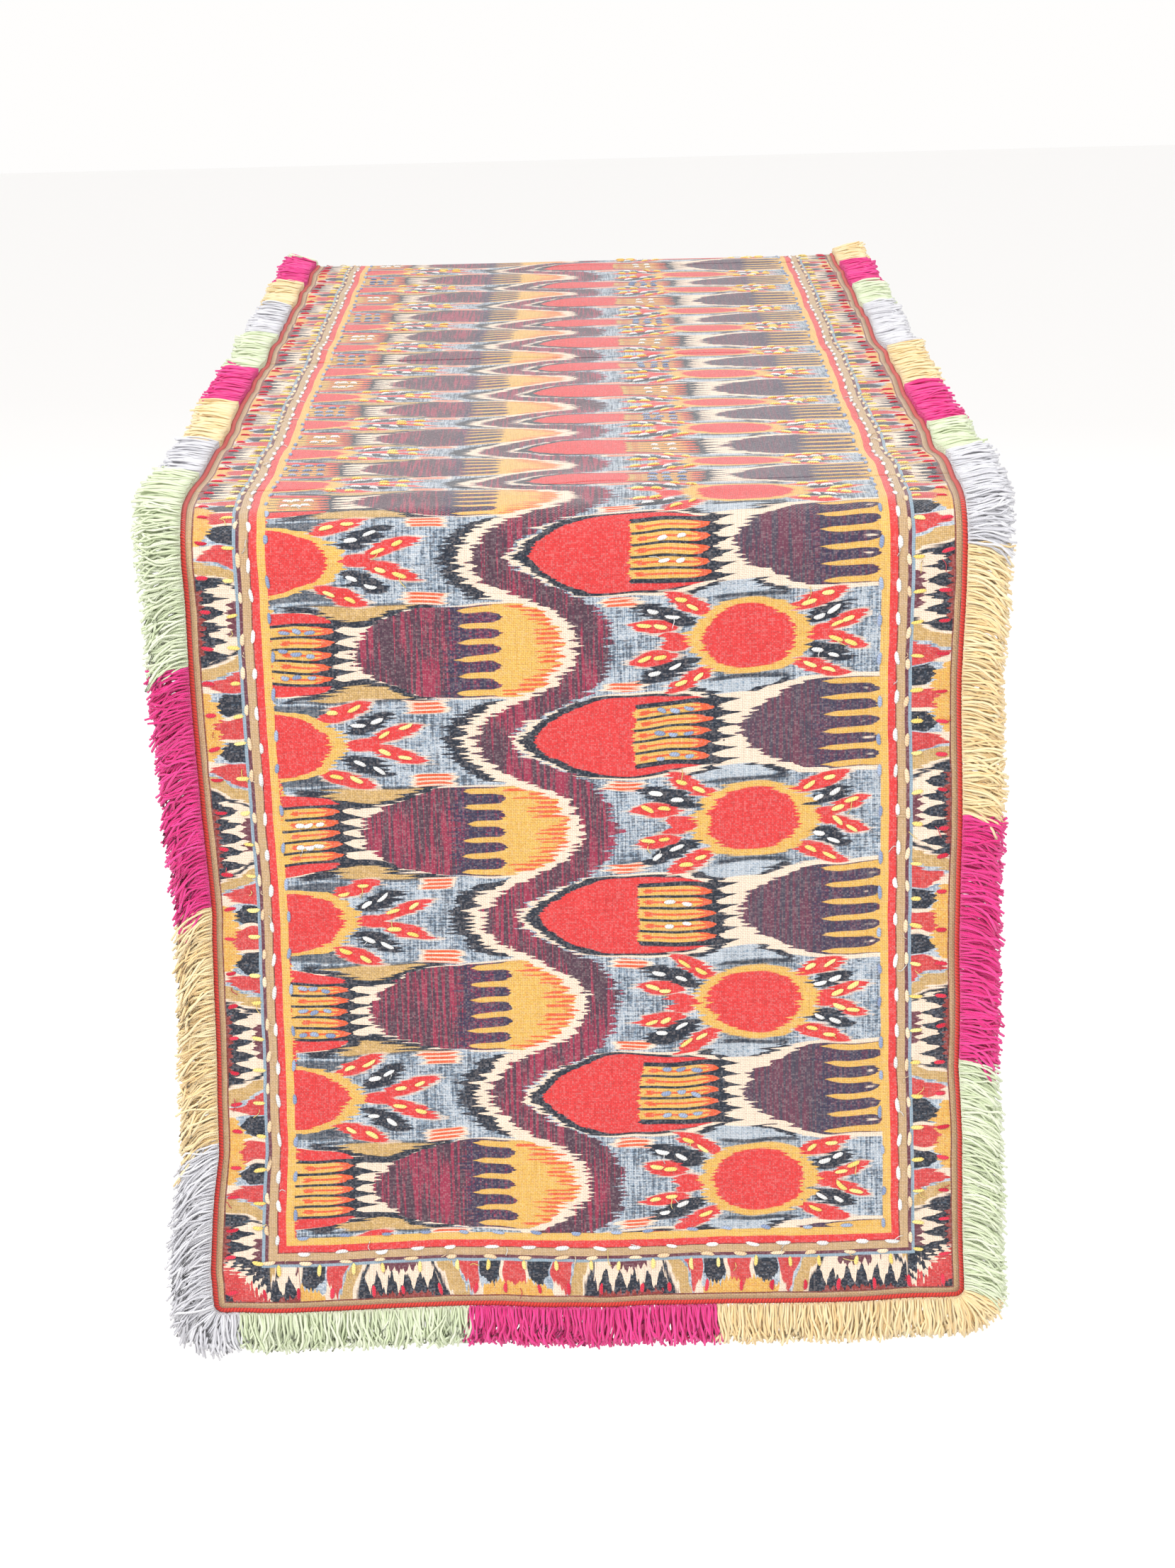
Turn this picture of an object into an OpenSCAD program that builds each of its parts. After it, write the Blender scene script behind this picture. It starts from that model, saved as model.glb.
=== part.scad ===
// Table runner draped over a table: printed face cloth, plain lining, red piping,
// fringe trim in four yarn colours and running-stitch embroidery.
// Origin: centre of the tabletop contact face. +Z up, +Y towards the back drop.
// The runner is limp cloth, so each bend over a table edge is a separate fold piece
// between two flat pieces of the same cloth.

/* [Cloth] */
// Width of the runner between the outer sides of its piping
cloth_w = 356; // [300:1:460]
// Length of the runner between the outer sides of its piping, measured along the cloth
cloth_len = 1780; // [1700:1:2200]
// Thickness of the printed face cloth
face_t = 0.6; // [0.4:0.1:1]
// Thickness of the lining cloth
lining_t = 0.4; // [0.3:0.1:0.8]

/* [Drape] */
// Depth of the table, from the front drop to the back drop
table_depth = 940; // [800:1:1000]
// Fall of the front drop, from the tabletop to the hem
front_fall = 386; // [250:1:420]
// Inner radius of the bend over each table edge
fold_r = 22; // [12:1:30]
// Gap that lets a drop swing clear of the cloth above it
swing_gap = 0.3; // [0.2:0.1:1]

/* [Edge] */
// Width of the red piping
piping_w = 2.5; // [2:0.1:4]
// Height of the red piping
piping_t = 1.3; // [1:0.1:2]
// Width of the fringe's woven header inside the seam
header_w = 8; // [6:0.5:12]
// Thickness of the fringe's woven header
header_t = 0.3; // [0.2:0.1:0.6]
// Length of the fringe yarns outside the piping
fringe_len = 24; // [15:1:30]
// Depth of the fringe, measured through its layers of yarn
fringe_t = 8; // [4:0.5:10]

/* [Print] */
// Width of the printed border, from the outer side of the piping to the field
border_w = 39.4; // [30:0.1:50]
// Length of one repeat of the printed field
repeat = 87.7; // [80:0.1:100]

/* [Embroidery] */
// Width of the embroidery thread
thread_w = 1.6; // [1:0.1:2]
// Height of a stitch above the face cloth
thread_t = 0.5; // [0.3:0.1:1]

/* [Hidden] */
$fn = 64;
half_w = cloth_w / 2;
face_lo = lining_t + header_t;
face_hi = face_lo + face_t;
mid_r = fold_r + face_hi / 2;
arc_len = PI / 2 * mid_r;
flat_len = table_depth - 2 * fold_r;
front_straight = front_fall - fold_r;
back_straight = cloth_len - front_straight - flat_len - 2 * arc_len;

// Where the flat part begins and ends along the cloth, counted from the front hem
flat_start = front_straight + arc_len;
flat_end = flat_start + flat_len;

// Colours of the yarns, threads and cloths
PINK = [0.78, 0.08, 0.42];
YELLOW = [0.95, 0.76, 0.42];
GREY = [0.67, 0.68, 0.72];
MINT = [0.75, 0.85, 0.62];
FACE = [0.72, 0.35, 0.25];
LINING = [0.86, 0.80, 0.68];
RED = [0.72, 0.16, 0.10];

// The fringe changes colour along the edge. Each entry is [colour, length of that stretch].
// The right and left edges are listed from the front hem to the back hem.
RIGHT_RUN = [["mint", 100], ["pink", 132], ["yellow", 125], ["grey", 125], ["mint", 97],
    ["pink", 128], ["yellow", 116], ["grey", 171], ["mint", 103], ["pink", 124],
    ["yellow", 118], ["grey", 118], ["mint", 118], ["pink", 118], ["yellow", 87]];
LEFT_RUN = [["grey", 86], ["yellow", 113], ["pink", 120], ["mint", 160], ["grey", 90],
    ["yellow", 123], ["pink", 112], ["mint", 139], ["grey", 114], ["yellow", 116],
    ["pink", 123], ["mint", 118], ["grey", 118], ["yellow", 118], ["pink", 130]];
// The hems are listed from the left edge to the right edge.
FRONT_HEM_RUN = [["grey", 12], ["mint", 113], ["pink", 118], ["yellow", 113]];
BACK_HEM_RUN = [["pink", 89], ["mint", 118], ["grey", 118], ["yellow", 31]];

// Distances of the five sewn rows from the outer side of the piping, and their widths
RED_ROW = [8.5, 5];
YELLOW_ROW = [21, 5.5];
CREAM_ROW = [26.5, thread_w];
WHITE_ROW = [31.4, thread_w];
BLUE_ROW = [border_w + 0.4, thread_w];

// Embroidery of one sun motif, from its centre: [x, y, turn, length]
SUN_YELLOW = [[27, 16, 20, 15], [27, -16, -20, 15], [40, 0, 0, 15]];
SUN_WHITE = [[37, 10.5, 15, 13], [37, -10.5, -15, 13]];
SUN_X = 80.6;
HALF_SUN_X = -half_w + border_w + 4;
PENCILS_RIGHT_X = 45;
PENCILS_LEFT_X = -half_w + border_w + 12;
PENCIL_ROWS = [-10.5, 0, 10.5];
PENCIL_STITCH = 12;
// Half the room that a motif takes up along the cloth
SUN_REACH = 21;
PENCIL_REACH = 13;
// The first row of whole suns, from the front hem
sun_start = border_w + 23.4;
suns = floor((cloth_len - sun_start - border_w) / repeat);

function yarn(name) = name == "pink" ? PINK : name == "yellow" ? YELLOW : name == "grey" ? GREY : MINT;
// Where each stretch of a run begins
function run_start(run, i) = i == 0 ? 0 : run_start(run, i - 1) + run[i - 1][1];
function straight(part) = part == "front" ? front_straight : back_straight;
// Distance along the cloth, from the front hem, turned into distance above the back hem
function from_hem(part, s) = part == "front" ? s : cloth_len - s;

// Places a drop. Its children are drawn flat: X across the cloth, Y up from the hem, Z out of the cloth.
module drop_place(part) {
    mirror([0, part == "front" ? 1 : 0, 0])
        translate([0, table_depth / 2, -fold_r - straight(part)])
            multmatrix([[1, 0, 0, 0], [0, 0, 1, 0], [0, 1, 0, 0]])
                children();
}

// Places the flat part. Its children use the same frame as a drop, with Y from the flat part's front end.
module span_place() {
    translate([0, -flat_len / 2, 0]) children();
}

// A flat slab of cloth from x0 to x1, y0 to y1, and t0 to t1 out of the cloth
module slab(x0, x1, y0, y1, t0, t1) {
    translate([x0, y0, t0]) cube([x1 - x0, y1 - y0, t1 - t0]);
}

// A quarter-turn band of cloth over a table edge
module bend(part, x0, x1, t0, t1) {
    mirror([0, part == "front" ? 1 : 0, 0])
        translate([0, flat_len / 2, -fold_r])
            rotate([90, 0, 90])
                rotate_extrude(angle = 90)
                    translate([fold_r + t0, x0]) square([t1 - t0, x1 - x0]);
}

// The same band on the left and right edges
module edge_bends(part, inner, outer, t0, t1) {
    bend(part, -half_w + inner, -half_w + outer, t0, t1);
    bend(part, half_w - outer, half_w - inner, t0, t1);
}

// Two strips along the edges of the flat part, from inner to outer millimetres inside the piping's outer side
module edge_strips(inner, outer, t0, t1) {
    span_place() {
        slab(-half_w + inner, -half_w + outer, 0, flat_len, t0, t1);
        slab(half_w - outer, half_w - inner, 0, flat_len, t0, t1);
    }
}

// A U-shaped strip round a drop: both edges and the hem
module drop_strip(part, inner, outer, t0, t1) {
    top = straight(part) - swing_gap;
    drop_place(part) difference() {
        slab(-half_w + inner, half_w - inner, inner, top, t0, t1);
        slab(-half_w + outer, half_w - outer, outer, top + 1, t0 - 1, t1 + 1);
    }
}

module face_span() {
    color(FACE) span_place()
        slab(-half_w + piping_w, half_w - piping_w, 0, flat_len, face_lo, face_hi);
}

module face_drop(part) {
    color(FACE) drop_place(part)
        slab(-half_w + piping_w, half_w - piping_w, piping_w, straight(part) - swing_gap, face_lo, face_hi);
}

module face_fold(part) {
    color(FACE) bend(part, -half_w + piping_w, half_w - piping_w, face_lo, face_hi);
}

module lining_span() {
    color(LINING) span_place() slab(-half_w, half_w, 0, flat_len, 0, lining_t);
}

module lining_drop(part) {
    color(LINING) drop_place(part) slab(-half_w, half_w, 0, straight(part) - swing_gap, 0, lining_t);
}

module lining_fold(part) {
    color(LINING) bend(part, -half_w, half_w, 0, lining_t);
}

module piping_span() {
    color(RED) edge_strips(0, piping_w, face_lo, face_lo + piping_t);
}

module piping_drop(part) {
    color(RED) drop_strip(part, 0, piping_w, face_lo, face_lo + piping_t);
}

module piping_fold(part) {
    color(RED) edge_bends(part, 0, piping_w, face_lo, face_lo + piping_t);
}

module header_span() {
    color(LINING) edge_strips(0, header_w, lining_t, face_lo);
}

module header_drop(part) {
    color(LINING) drop_strip(part, 0, header_w, lining_t, face_lo);
}

module header_fold(part) {
    color(LINING) edge_bends(part, 0, header_w, lining_t, face_lo);
}

// The stretches of one colour along an edge of the flat part. sign is -1 on the left edge, 1 on the right.
module span_fringe(name) {
    color(yarn(name)) span_place()
        for (edge = [[-1, LEFT_RUN], [1, RIGHT_RUN]], i = [0:len(edge[1]) - 1]) {
            lo = max(run_start(edge[1], i), flat_start) - flat_start;
            hi = min(run_start(edge[1], i) + edge[1][i][1], flat_end) - flat_start;
            if (edge[1][i][0] == name && hi - lo > 1)
                slab(edge[0] > 0 ? half_w : -half_w - fringe_len, edge[0] > 0 ? half_w + fringe_len : -half_w,
                    lo, hi, 0, fringe_t);
        }
}

// The stretches of one colour round a drop, with a quarter-round fan at each hem corner
module drop_fringe(part, name) {
    top = straight(part) - swing_gap;
    hem = part == "front" ? FRONT_HEM_RUN : BACK_HEM_RUN;
    last = len(hem) - 1;
    color(yarn(name)) drop_place(part) {
        for (edge = [[-1, LEFT_RUN], [1, RIGHT_RUN]], i = [0:len(edge[1]) - 1]) {
            a = from_hem(part, run_start(edge[1], i));
            b = from_hem(part, run_start(edge[1], i) + edge[1][i][1]);
            lo = max(min(a, b), 0);
            hi = min(max(a, b), top);
            if (edge[1][i][0] == name && hi - lo > 1)
                slab(edge[0] > 0 ? half_w : -half_w - fringe_len, edge[0] > 0 ? half_w + fringe_len : -half_w,
                    lo, hi, 0, fringe_t);
        }
        for (i = [0:last])
            if (hem[i][0] == name)
                slab(-half_w + run_start(hem, i), -half_w + run_start(hem, i) + hem[i][1],
                    -fringe_len, 0, 0, fringe_t);
        for (corner = [[-1, hem[0][0]], [1, hem[last][0]]])
            if (corner[1] == name)
                translate([corner[0] * half_w, 0, 0])
                    rotate([0, 0, corner[0] > 0 ? -90 : 180])
                        rotate_extrude(angle = 90) square([fringe_len, fringe_t]);
    }
}

// The fringe over a table edge, on the left edge (side -1) or the right edge (side 1)
module fringe_fold(part, side, name) {
    outer = half_w + fringe_len;
    color(yarn(name)) bend(part, side > 0 ? half_w : -outer, side > 0 ? outer : -half_w, 0, fringe_t);
}

// One sewn row: row is [distance from the piping's outer side, width]
module thread_span(row, c) {
    color(c) edge_strips(row[0] - row[1] / 2, row[0] + row[1] / 2, face_hi, face_hi + thread_t);
}

module thread_drop(part, row, c) {
    color(c) drop_strip(part, row[0] - row[1] / 2, row[0] + row[1] / 2, face_hi, face_hi + thread_t);
}

module threads_fold(part) {
    color("white") for (row = [RED_ROW, YELLOW_ROW, CREAM_ROW, WHITE_ROW, BLUE_ROW])
        edge_bends(part, row[0] - row[1] / 2, row[0] + row[1] / 2, face_hi, face_hi + thread_t);
}

// One line of embroidery at [x, y], turned by a, lying on the face cloth
module stitch_line(x, y, a, length) {
    translate([x, y, face_hi]) rotate([0, 0, a])
        translate([-length / 2, -thread_w / 2, 0]) cube([length, thread_w, thread_t]);
}

// The stitch lines round one sun: sides is [-1, 1] for a whole sun and [1] for a half sun
module sun_stitches(sides) {
    for (side = sides, line = concat(SUN_YELLOW, SUN_WHITE))
        stitch_line(side * line[0], line[1], side * line[2], line[3]);
}

module pencil_stitches() {
    for (y = PENCIL_ROWS) stitch_line(0, y, 0, PENCIL_STITCH);
}

// Repeats a motif along the part of the cloth between lo and hi, where the motif fits inside
module along(lo, hi, first, reach) {
    for (k = [0:suns]) {
        s = first + k * repeat;
        if (s - reach > lo && s + reach < hi) translate([0, s, 0]) children();
    }
}

module motifs(lo, hi, kind) {
    if (kind == "sun") {
        along(lo, hi, sun_start, SUN_REACH) translate([SUN_X, 0, 0]) sun_stitches([-1, 1]);
        along(lo, hi, sun_start + repeat / 2, SUN_REACH) translate([HALF_SUN_X, 0, 0]) sun_stitches([1]);
    } else {
        along(lo, hi, sun_start + repeat / 2, PENCIL_REACH) translate([PENCILS_RIGHT_X, 0, 0]) pencil_stitches();
        along(lo, hi, sun_start, PENCIL_REACH) translate([PENCILS_LEFT_X, 0, 0]) pencil_stitches();
    }
}

module embroidery_span(kind) {
    color("white") span_place() translate([0, -flat_start, 0]) motifs(flat_start, flat_end, kind);
}

module embroidery_front(kind) {
    color("white") drop_place("front") motifs(border_w, front_straight - swing_gap, kind);
}

module embroidery_back(kind) {
    color("white") drop_place("back") mirror([0, 1, 0]) translate([0, -cloth_len, 0])
        motifs(cloth_len - back_straight + swing_gap, cloth_len - border_w, kind);
}

face_span();
face_drop("front");  // face_front_drop
face_drop("back");  // face_back_drop
face_fold("front");  // face_front_fold
face_fold("back");  // face_back_fold
lining_span();
lining_drop("front");  // lining_front_drop
lining_drop("back");  // lining_back_drop
lining_fold("front");  // lining_front_fold
lining_fold("back");  // lining_back_fold
piping_span();
piping_drop("front");  // piping_front_drop
piping_drop("back");  // piping_back_drop
piping_fold("front");  // piping_front_fold
piping_fold("back");  // piping_back_fold
header_span();
header_drop("front");  // header_front_drop
header_drop("back");  // header_back_drop
header_fold("front");  // header_front_fold
header_fold("back");  // header_back_fold
span_fringe("pink");  // fringe_pink_span
span_fringe("yellow");  // fringe_yellow_span
span_fringe("grey");  // fringe_grey_span
span_fringe("mint");  // fringe_mint_span
drop_fringe("front", "pink");  // fringe_pink_front_drop
drop_fringe("front", "yellow");  // fringe_yellow_front_drop
drop_fringe("front", "grey");  // fringe_grey_front_drop
drop_fringe("front", "mint");  // fringe_mint_front_drop
drop_fringe("back", "pink");  // fringe_pink_back_drop
drop_fringe("back", "yellow");  // fringe_yellow_back_drop
drop_fringe("back", "grey");  // fringe_grey_back_drop
drop_fringe("back", "mint");  // fringe_mint_back_drop
fringe_fold("front", -1, "mint");  // fringe_mint_front_fold
fringe_fold("front", 1, "grey");  // fringe_grey_front_fold
fringe_fold("back", -1, "mint");  // fringe_mint_back_fold
fringe_fold("back", 1, "yellow");  // fringe_yellow_back_fold
thread_span(WHITE_ROW, "white");  // white_thread_span
thread_span(CREAM_ROW, "wheat");  // cream_thread_span
thread_span(BLUE_ROW, "lightsteelblue");  // blue_thread_span
thread_span(YELLOW_ROW, "khaki");  // yellow_thread_span
thread_span(RED_ROW, "crimson");  // red_thread_span
thread_drop("front", WHITE_ROW, "white");  // white_thread_front_drop
thread_drop("front", CREAM_ROW, "wheat");  // cream_thread_front_drop
thread_drop("front", BLUE_ROW, "lightsteelblue");  // blue_thread_front_drop
thread_drop("front", YELLOW_ROW, "khaki");  // yellow_thread_front_drop
thread_drop("front", RED_ROW, "crimson");  // red_thread_front_drop
thread_drop("back", WHITE_ROW, "white");  // white_thread_back_drop
thread_drop("back", CREAM_ROW, "wheat");  // cream_thread_back_drop
thread_drop("back", BLUE_ROW, "lightsteelblue");  // blue_thread_back_drop
thread_drop("back", YELLOW_ROW, "khaki");  // yellow_thread_back_drop
thread_drop("back", RED_ROW, "crimson");  // red_thread_back_drop
threads_fold("front");  // threads_front_fold
threads_fold("back");  // threads_back_fold
embroidery_span("sun");  // sun_embroidery_span
embroidery_front("sun");  // sun_embroidery_front_drop
embroidery_back("sun");  // sun_embroidery_back_drop
embroidery_span("pencil");  // pencil_embroidery_span
embroidery_front("pencil");  // pencil_embroidery_front_drop
embroidery_back("pencil");  // pencil_embroidery_back_drop
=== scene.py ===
# %% [markdown]
# # A fringed, embroidered table runner
# The runner is limp cloth over a table: a flat part, a bend over each table edge, and two drops.
# Every piece is worked out as a surface in the cloth's own flat coordinates, x across and s along
# from the front hem, and one function lays those coordinates over the table. So the print, the
# stitches, the piping and the fringe all follow the same folds.

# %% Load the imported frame
import math

import bpy
import numpy as np
from mathutils import Matrix, Vector


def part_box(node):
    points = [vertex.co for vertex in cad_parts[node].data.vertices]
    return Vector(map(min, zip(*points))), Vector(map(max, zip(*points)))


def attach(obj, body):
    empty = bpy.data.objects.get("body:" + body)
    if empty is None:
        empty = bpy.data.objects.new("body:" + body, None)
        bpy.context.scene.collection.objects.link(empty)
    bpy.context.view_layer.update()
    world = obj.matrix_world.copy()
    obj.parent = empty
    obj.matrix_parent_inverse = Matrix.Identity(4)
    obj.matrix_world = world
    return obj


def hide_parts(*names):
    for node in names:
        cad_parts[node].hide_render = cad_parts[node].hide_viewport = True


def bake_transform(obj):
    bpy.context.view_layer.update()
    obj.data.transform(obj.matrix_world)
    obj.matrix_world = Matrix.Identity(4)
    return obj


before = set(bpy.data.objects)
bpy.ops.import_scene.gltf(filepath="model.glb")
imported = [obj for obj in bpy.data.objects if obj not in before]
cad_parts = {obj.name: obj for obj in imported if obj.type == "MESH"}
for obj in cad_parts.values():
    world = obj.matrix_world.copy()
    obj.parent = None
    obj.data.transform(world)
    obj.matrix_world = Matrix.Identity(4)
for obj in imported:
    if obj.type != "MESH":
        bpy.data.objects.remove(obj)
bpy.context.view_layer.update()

MM = 0.001

# %% [markdown]
# ## Sizes
# The frame already knows how big everything is, so each size is read from a CAD node.

# %% Read the sizes from the frame, in millimetres
def node_box(node):
    """Lowest and highest corner of a CAD node, in millimetres."""
    low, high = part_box(node)
    return np.array(low) / MM, np.array(high) / MM


low, high = node_box("lining_span")
HALF = high[0]
FLAT = high[1] - low[1]
LINING_T = high[2]
low, high = node_box("face_span")
FACE_LO, FACE_HI = low[2], high[2]
PIPING_W = HALF - high[0]
FOLD_R = -node_box("lining_front_fold")[0][2]
FRONT = -node_box("lining_front_drop")[0][2] - FOLD_R
BACK = -node_box("lining_back_drop")[0][2] - FOLD_R
low, high = node_box("fringe_mint_span")
FRINGE = high[0] - HALF
FRINGE_T = high[2]
PIPING_T = node_box("piping_span")[1][2] - FACE_LO
BEND = math.pi / 2 * (FOLD_R + FACE_HI / 2)
S_FLAT = FRONT + BEND
S_MID = S_FLAT + FLAT / 2
S_BACK = S_FLAT + FLAT
LENGTH = S_BACK + BEND + BACK
print(f"cloth {2 * HALF:.0f} x {LENGTH:.0f} mm, flat {FLAT:.0f}, drops {FRONT:.0f} and {BACK:.0f}, bend {BEND:.1f}")

# %% [markdown]
# ## Camera, light and floor
# A long lens, low and level with the table edge, looks slightly down on the front drop.

# %% Camera
CAMERA_AT = (0.0114, -2.188, 0.327)
PITCH_DEG, YAW_DEG, ROLL_DEG = 14.815, -0.245, -1.435
pitch, yaw, roll = (math.radians(a) for a in (PITCH_DEG, YAW_DEG, ROLL_DEG))
forward = Vector((math.sin(yaw) * math.cos(pitch), math.cos(yaw) * math.cos(pitch), -math.sin(pitch)))
level = forward.cross(Vector((0, 0, 1))).normalized()
upright = level.cross(forward)
right = math.cos(roll) * level + math.sin(roll) * upright
up = math.cos(roll) * upright - math.sin(roll) * level
camera = bpy.data.objects.new("camera", bpy.data.cameras.new("camera"))
camera.matrix_world = Matrix.Translation(CAMERA_AT) @ Matrix((right, up, -forward)).transposed().to_4x4()
camera.data.sensor_fit = "VERTICAL"
camera.data.sensor_height = 36
camera.data.lens = 87.9
bpy.context.scene.collection.objects.link(camera)
bpy.context.scene.camera = camera
print("camera", CAMERA_AT, "lens", camera.data.lens)

# %% Light and floor
FLOOR_Z = -0.76
world = bpy.data.worlds.new("studio")
world.use_nodes = True
world.node_tree.nodes["Background"].inputs["Color"].default_value = (1, 0.99, 0.98, 1)
world.node_tree.nodes["Background"].inputs["Strength"].default_value = 1.0
bpy.context.scene.world = world
bpy.context.scene.view_settings.view_transform = "Standard"


def soft_light(name, at, aim, size, watts):
    """A square area light at one point, turned towards another."""
    light = bpy.data.lights.new(name, "AREA")
    light.size = size
    light.energy = watts
    lamp = bpy.data.objects.new(name, light)
    lamp.matrix_world = Matrix.Translation(at) @ (Vector(aim) - Vector(at)).to_track_quat("-Z", "Y").to_matrix().to_4x4()
    bpy.context.scene.collection.objects.link(lamp)
    return lamp


soft_light("key light", (-1.6, -1.9, 1.7), (0, -0.2, -0.1), 1.2, 50)
soft_light("fill light", (1.8, -1.6, 0.9), (0, 0, -0.1), 1.6, 15)
soft_light("back light", (0.6, 2.4, 1.6), (0, 0.3, -0.1), 1.8, 24)

floor_mesh = bpy.data.meshes.new("floor")
floor_mesh.from_pydata([(x, y, FLOOR_Z) for x, y in ((-9, -9), (9, -9), (9, 9), (-9, 9))], [], [(0, 1, 2, 3)])
floor = bpy.data.objects.new("floor", floor_mesh)
bpy.context.scene.collection.objects.link(floor)
floor_look = bpy.data.materials.new("pale floor")
floor_look.use_nodes = True
floor_look.node_tree.nodes["Principled BSDF"].inputs["Base Color"].default_value = (0.95, 0.945, 0.94, 1)
floor_look.node_tree.nodes["Principled BSDF"].inputs["Roughness"].default_value = 0.9
floor_mesh.materials.append(floor_look)
print("floor at", FLOOR_Z)

# %% [markdown]
# ## Laying the cloth
# A real runner is never quite flat: the drops hang in shallow ripples that grow towards the hem, and
# the edges wander by a millimetre or two where the fringe pulls them. A cloth simulation would have
# to be run again for every small change, so the drape is a formula instead.

# %% Lay cloth coordinates over the table
def smooth(v):
    """0 below 0, 1 above 1, and 3v^2 - 2v^3 between."""
    v = np.clip(v, 0, 1)
    return v * v * (3 - 2 * v)


def ripple(x, s):
    """How far the cloth stands off its resting plane: shallow folds whose height grows down each drop,
    and a low swell of a fraction of a millimetre on the tabletop."""
    fall = np.maximum(smooth((FRONT - s) / FRONT), smooth((s - S_BACK - BEND) / BACK))
    folds = 1 + 0.55 * np.sin(x / 41 + s / 330 + 0.6) + 0.45 * np.sin(x / 23 - s / 140 + 2.1)
    swell = 1 + 0.5 * np.sin(s / 57 + x / 90) + 0.5 * np.sin(x / 37 - s / 110)
    on_top = smooth((s - S_FLAT) / 30) * smooth((S_BACK - s) / 30)
    rumple = 0.9 * (1 + np.cos((s - 415 - 0.25 * x) / 27)) * smooth((x + 70) / 90) + 0.6 * smooth(-(x + 40) / 60)
    rumple = rumple + 0.6 * (1 + np.sin(s / 14 + x / 29 + 2 * np.sin(x / 47)))
    edge = (np.abs(x) / HALF) ** 6
    pucker = edge * (1 + np.sin(s / 9.3 + np.sin(s / 31) * 2)) * 0.6
    hem = smooth(1 - np.minimum(s, LENGTH - s) / 26)
    pucker = pucker + hem * (1 + np.sin(x / 8.1 + np.sin(x / 27) * 2)) * 0.45
    return fall * folds * 2.6 + 0.22 * swell + on_top * rumple + pucker


# How far each side edge stands out from a straight line, (s, millimetres) from the front hem
LEFT_DRIFT = [(0, 4.0), (22, 4.8), (60, 0.6), (82, -2.6), (110, -2.4), (150, -3.8), (200, -5.0), (250, -1.6), (300, -0.6),
              (370, 1.8), (440, 2.6),
              (520, 0.4), (620, -1.2), (700, 0.8), (800, -0.8), (1780, 0.6)]
RIGHT_DRIFT = [(0, 0.8), (25, 0.6), (60, 0.8), (82, 0.4), (115, -2.0), (150, -0.8), (220, -0.4), (300, 0.4), (340, 1.8),
               (400, 3.2), (440, 2.4), (500, 0.6),
               (560, 1.2), (640, -0.8), (760, 0.6), (900, -0.6), (1780, 0.8)]


def wander(x, s):
    """Sideways drift of the edges, from nothing at the middle to its most at the edge."""
    side = np.sign(x)
    edge = (np.abs(x) / HALF) ** 3 * side
    tables = (np.interp(s, *np.transpose(table)) for table in (LEFT_DRIFT, RIGHT_DRIFT))
    left_out, right_out = tables
    small = 0.5 * np.sin(s / 19 + 1.7 * side)
    return edge * (np.where(side < 0, left_out, right_out) + small)


def hem_lift(x, s):
    """How far the front hem rides up where the fringe pulls on it, dying out 80 mm up the drop."""
    corner = 2.6 * smooth((-x - 118) / 60)
    middle = 1.7 * np.exp(-((x + 42) / 36) ** 2)
    return (middle + corner) * smooth(1 - s / 80) + 0.5 * np.sin(x / 21) * smooth(1 - s / 50)


# How far towards the front hem the cloth has been pushed along its own length, (s, millimetres)
GATHER = [(0, 0), (60, 0), (120, -1.5), (180, -1.5), (240, 1), (300, 2), (386, 3), (440, 8), (520, 9), (700, 7),
          (800, 4), (890, 0), (1780, 0)]
SKEW = [(180, 0), (260, 1), (386, 1), (440, 0)]


def gather(x, s):
    """Cloth taken up by the rumples, a little more on one side than the other over the front drop."""
    return np.interp(s, *np.transpose(GATHER)) - np.maximum(x, 0) / 22 * np.interp(s, *np.transpose(SKEW))


def lay(x, s, t):
    """Cloth coordinates, in millimetres, to a place in the frame, in metres. Along the path the cloth
    goes up the front drop, round a quarter circle, across the top, and down the back the same way;
    t is the height above the lining's inner side."""
    x, s, t = np.broadcast_arrays(*(np.asarray(v, float) for v in (x, s, t)))
    mirror = s > S_MID
    run = np.where(mirror, LENGTH - s, s - gather(x, s))
    straight = np.where(mirror, BACK, FRONT)
    up_angle = np.clip((run - straight) / BEND, 0, 1) * math.pi / 2
    height = t + ripple(x, s)
    centre = FLAT / 2
    y = -(centre + (FOLD_R + height) * np.cos(up_angle)) + np.maximum(run - straight - BEND, 0)
    z = -FOLD_R + (FOLD_R + height) * np.sin(up_angle) + np.minimum(run - straight, 0) + hem_lift(x, s)
    y = np.where(mirror, -y, y)
    return np.stack([x + wander(x, s), y, z], -1) * MM


print("hem corner", lay(HALF, 0, 0), "fold top", lay(0, S_FLAT, 0))

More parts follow.
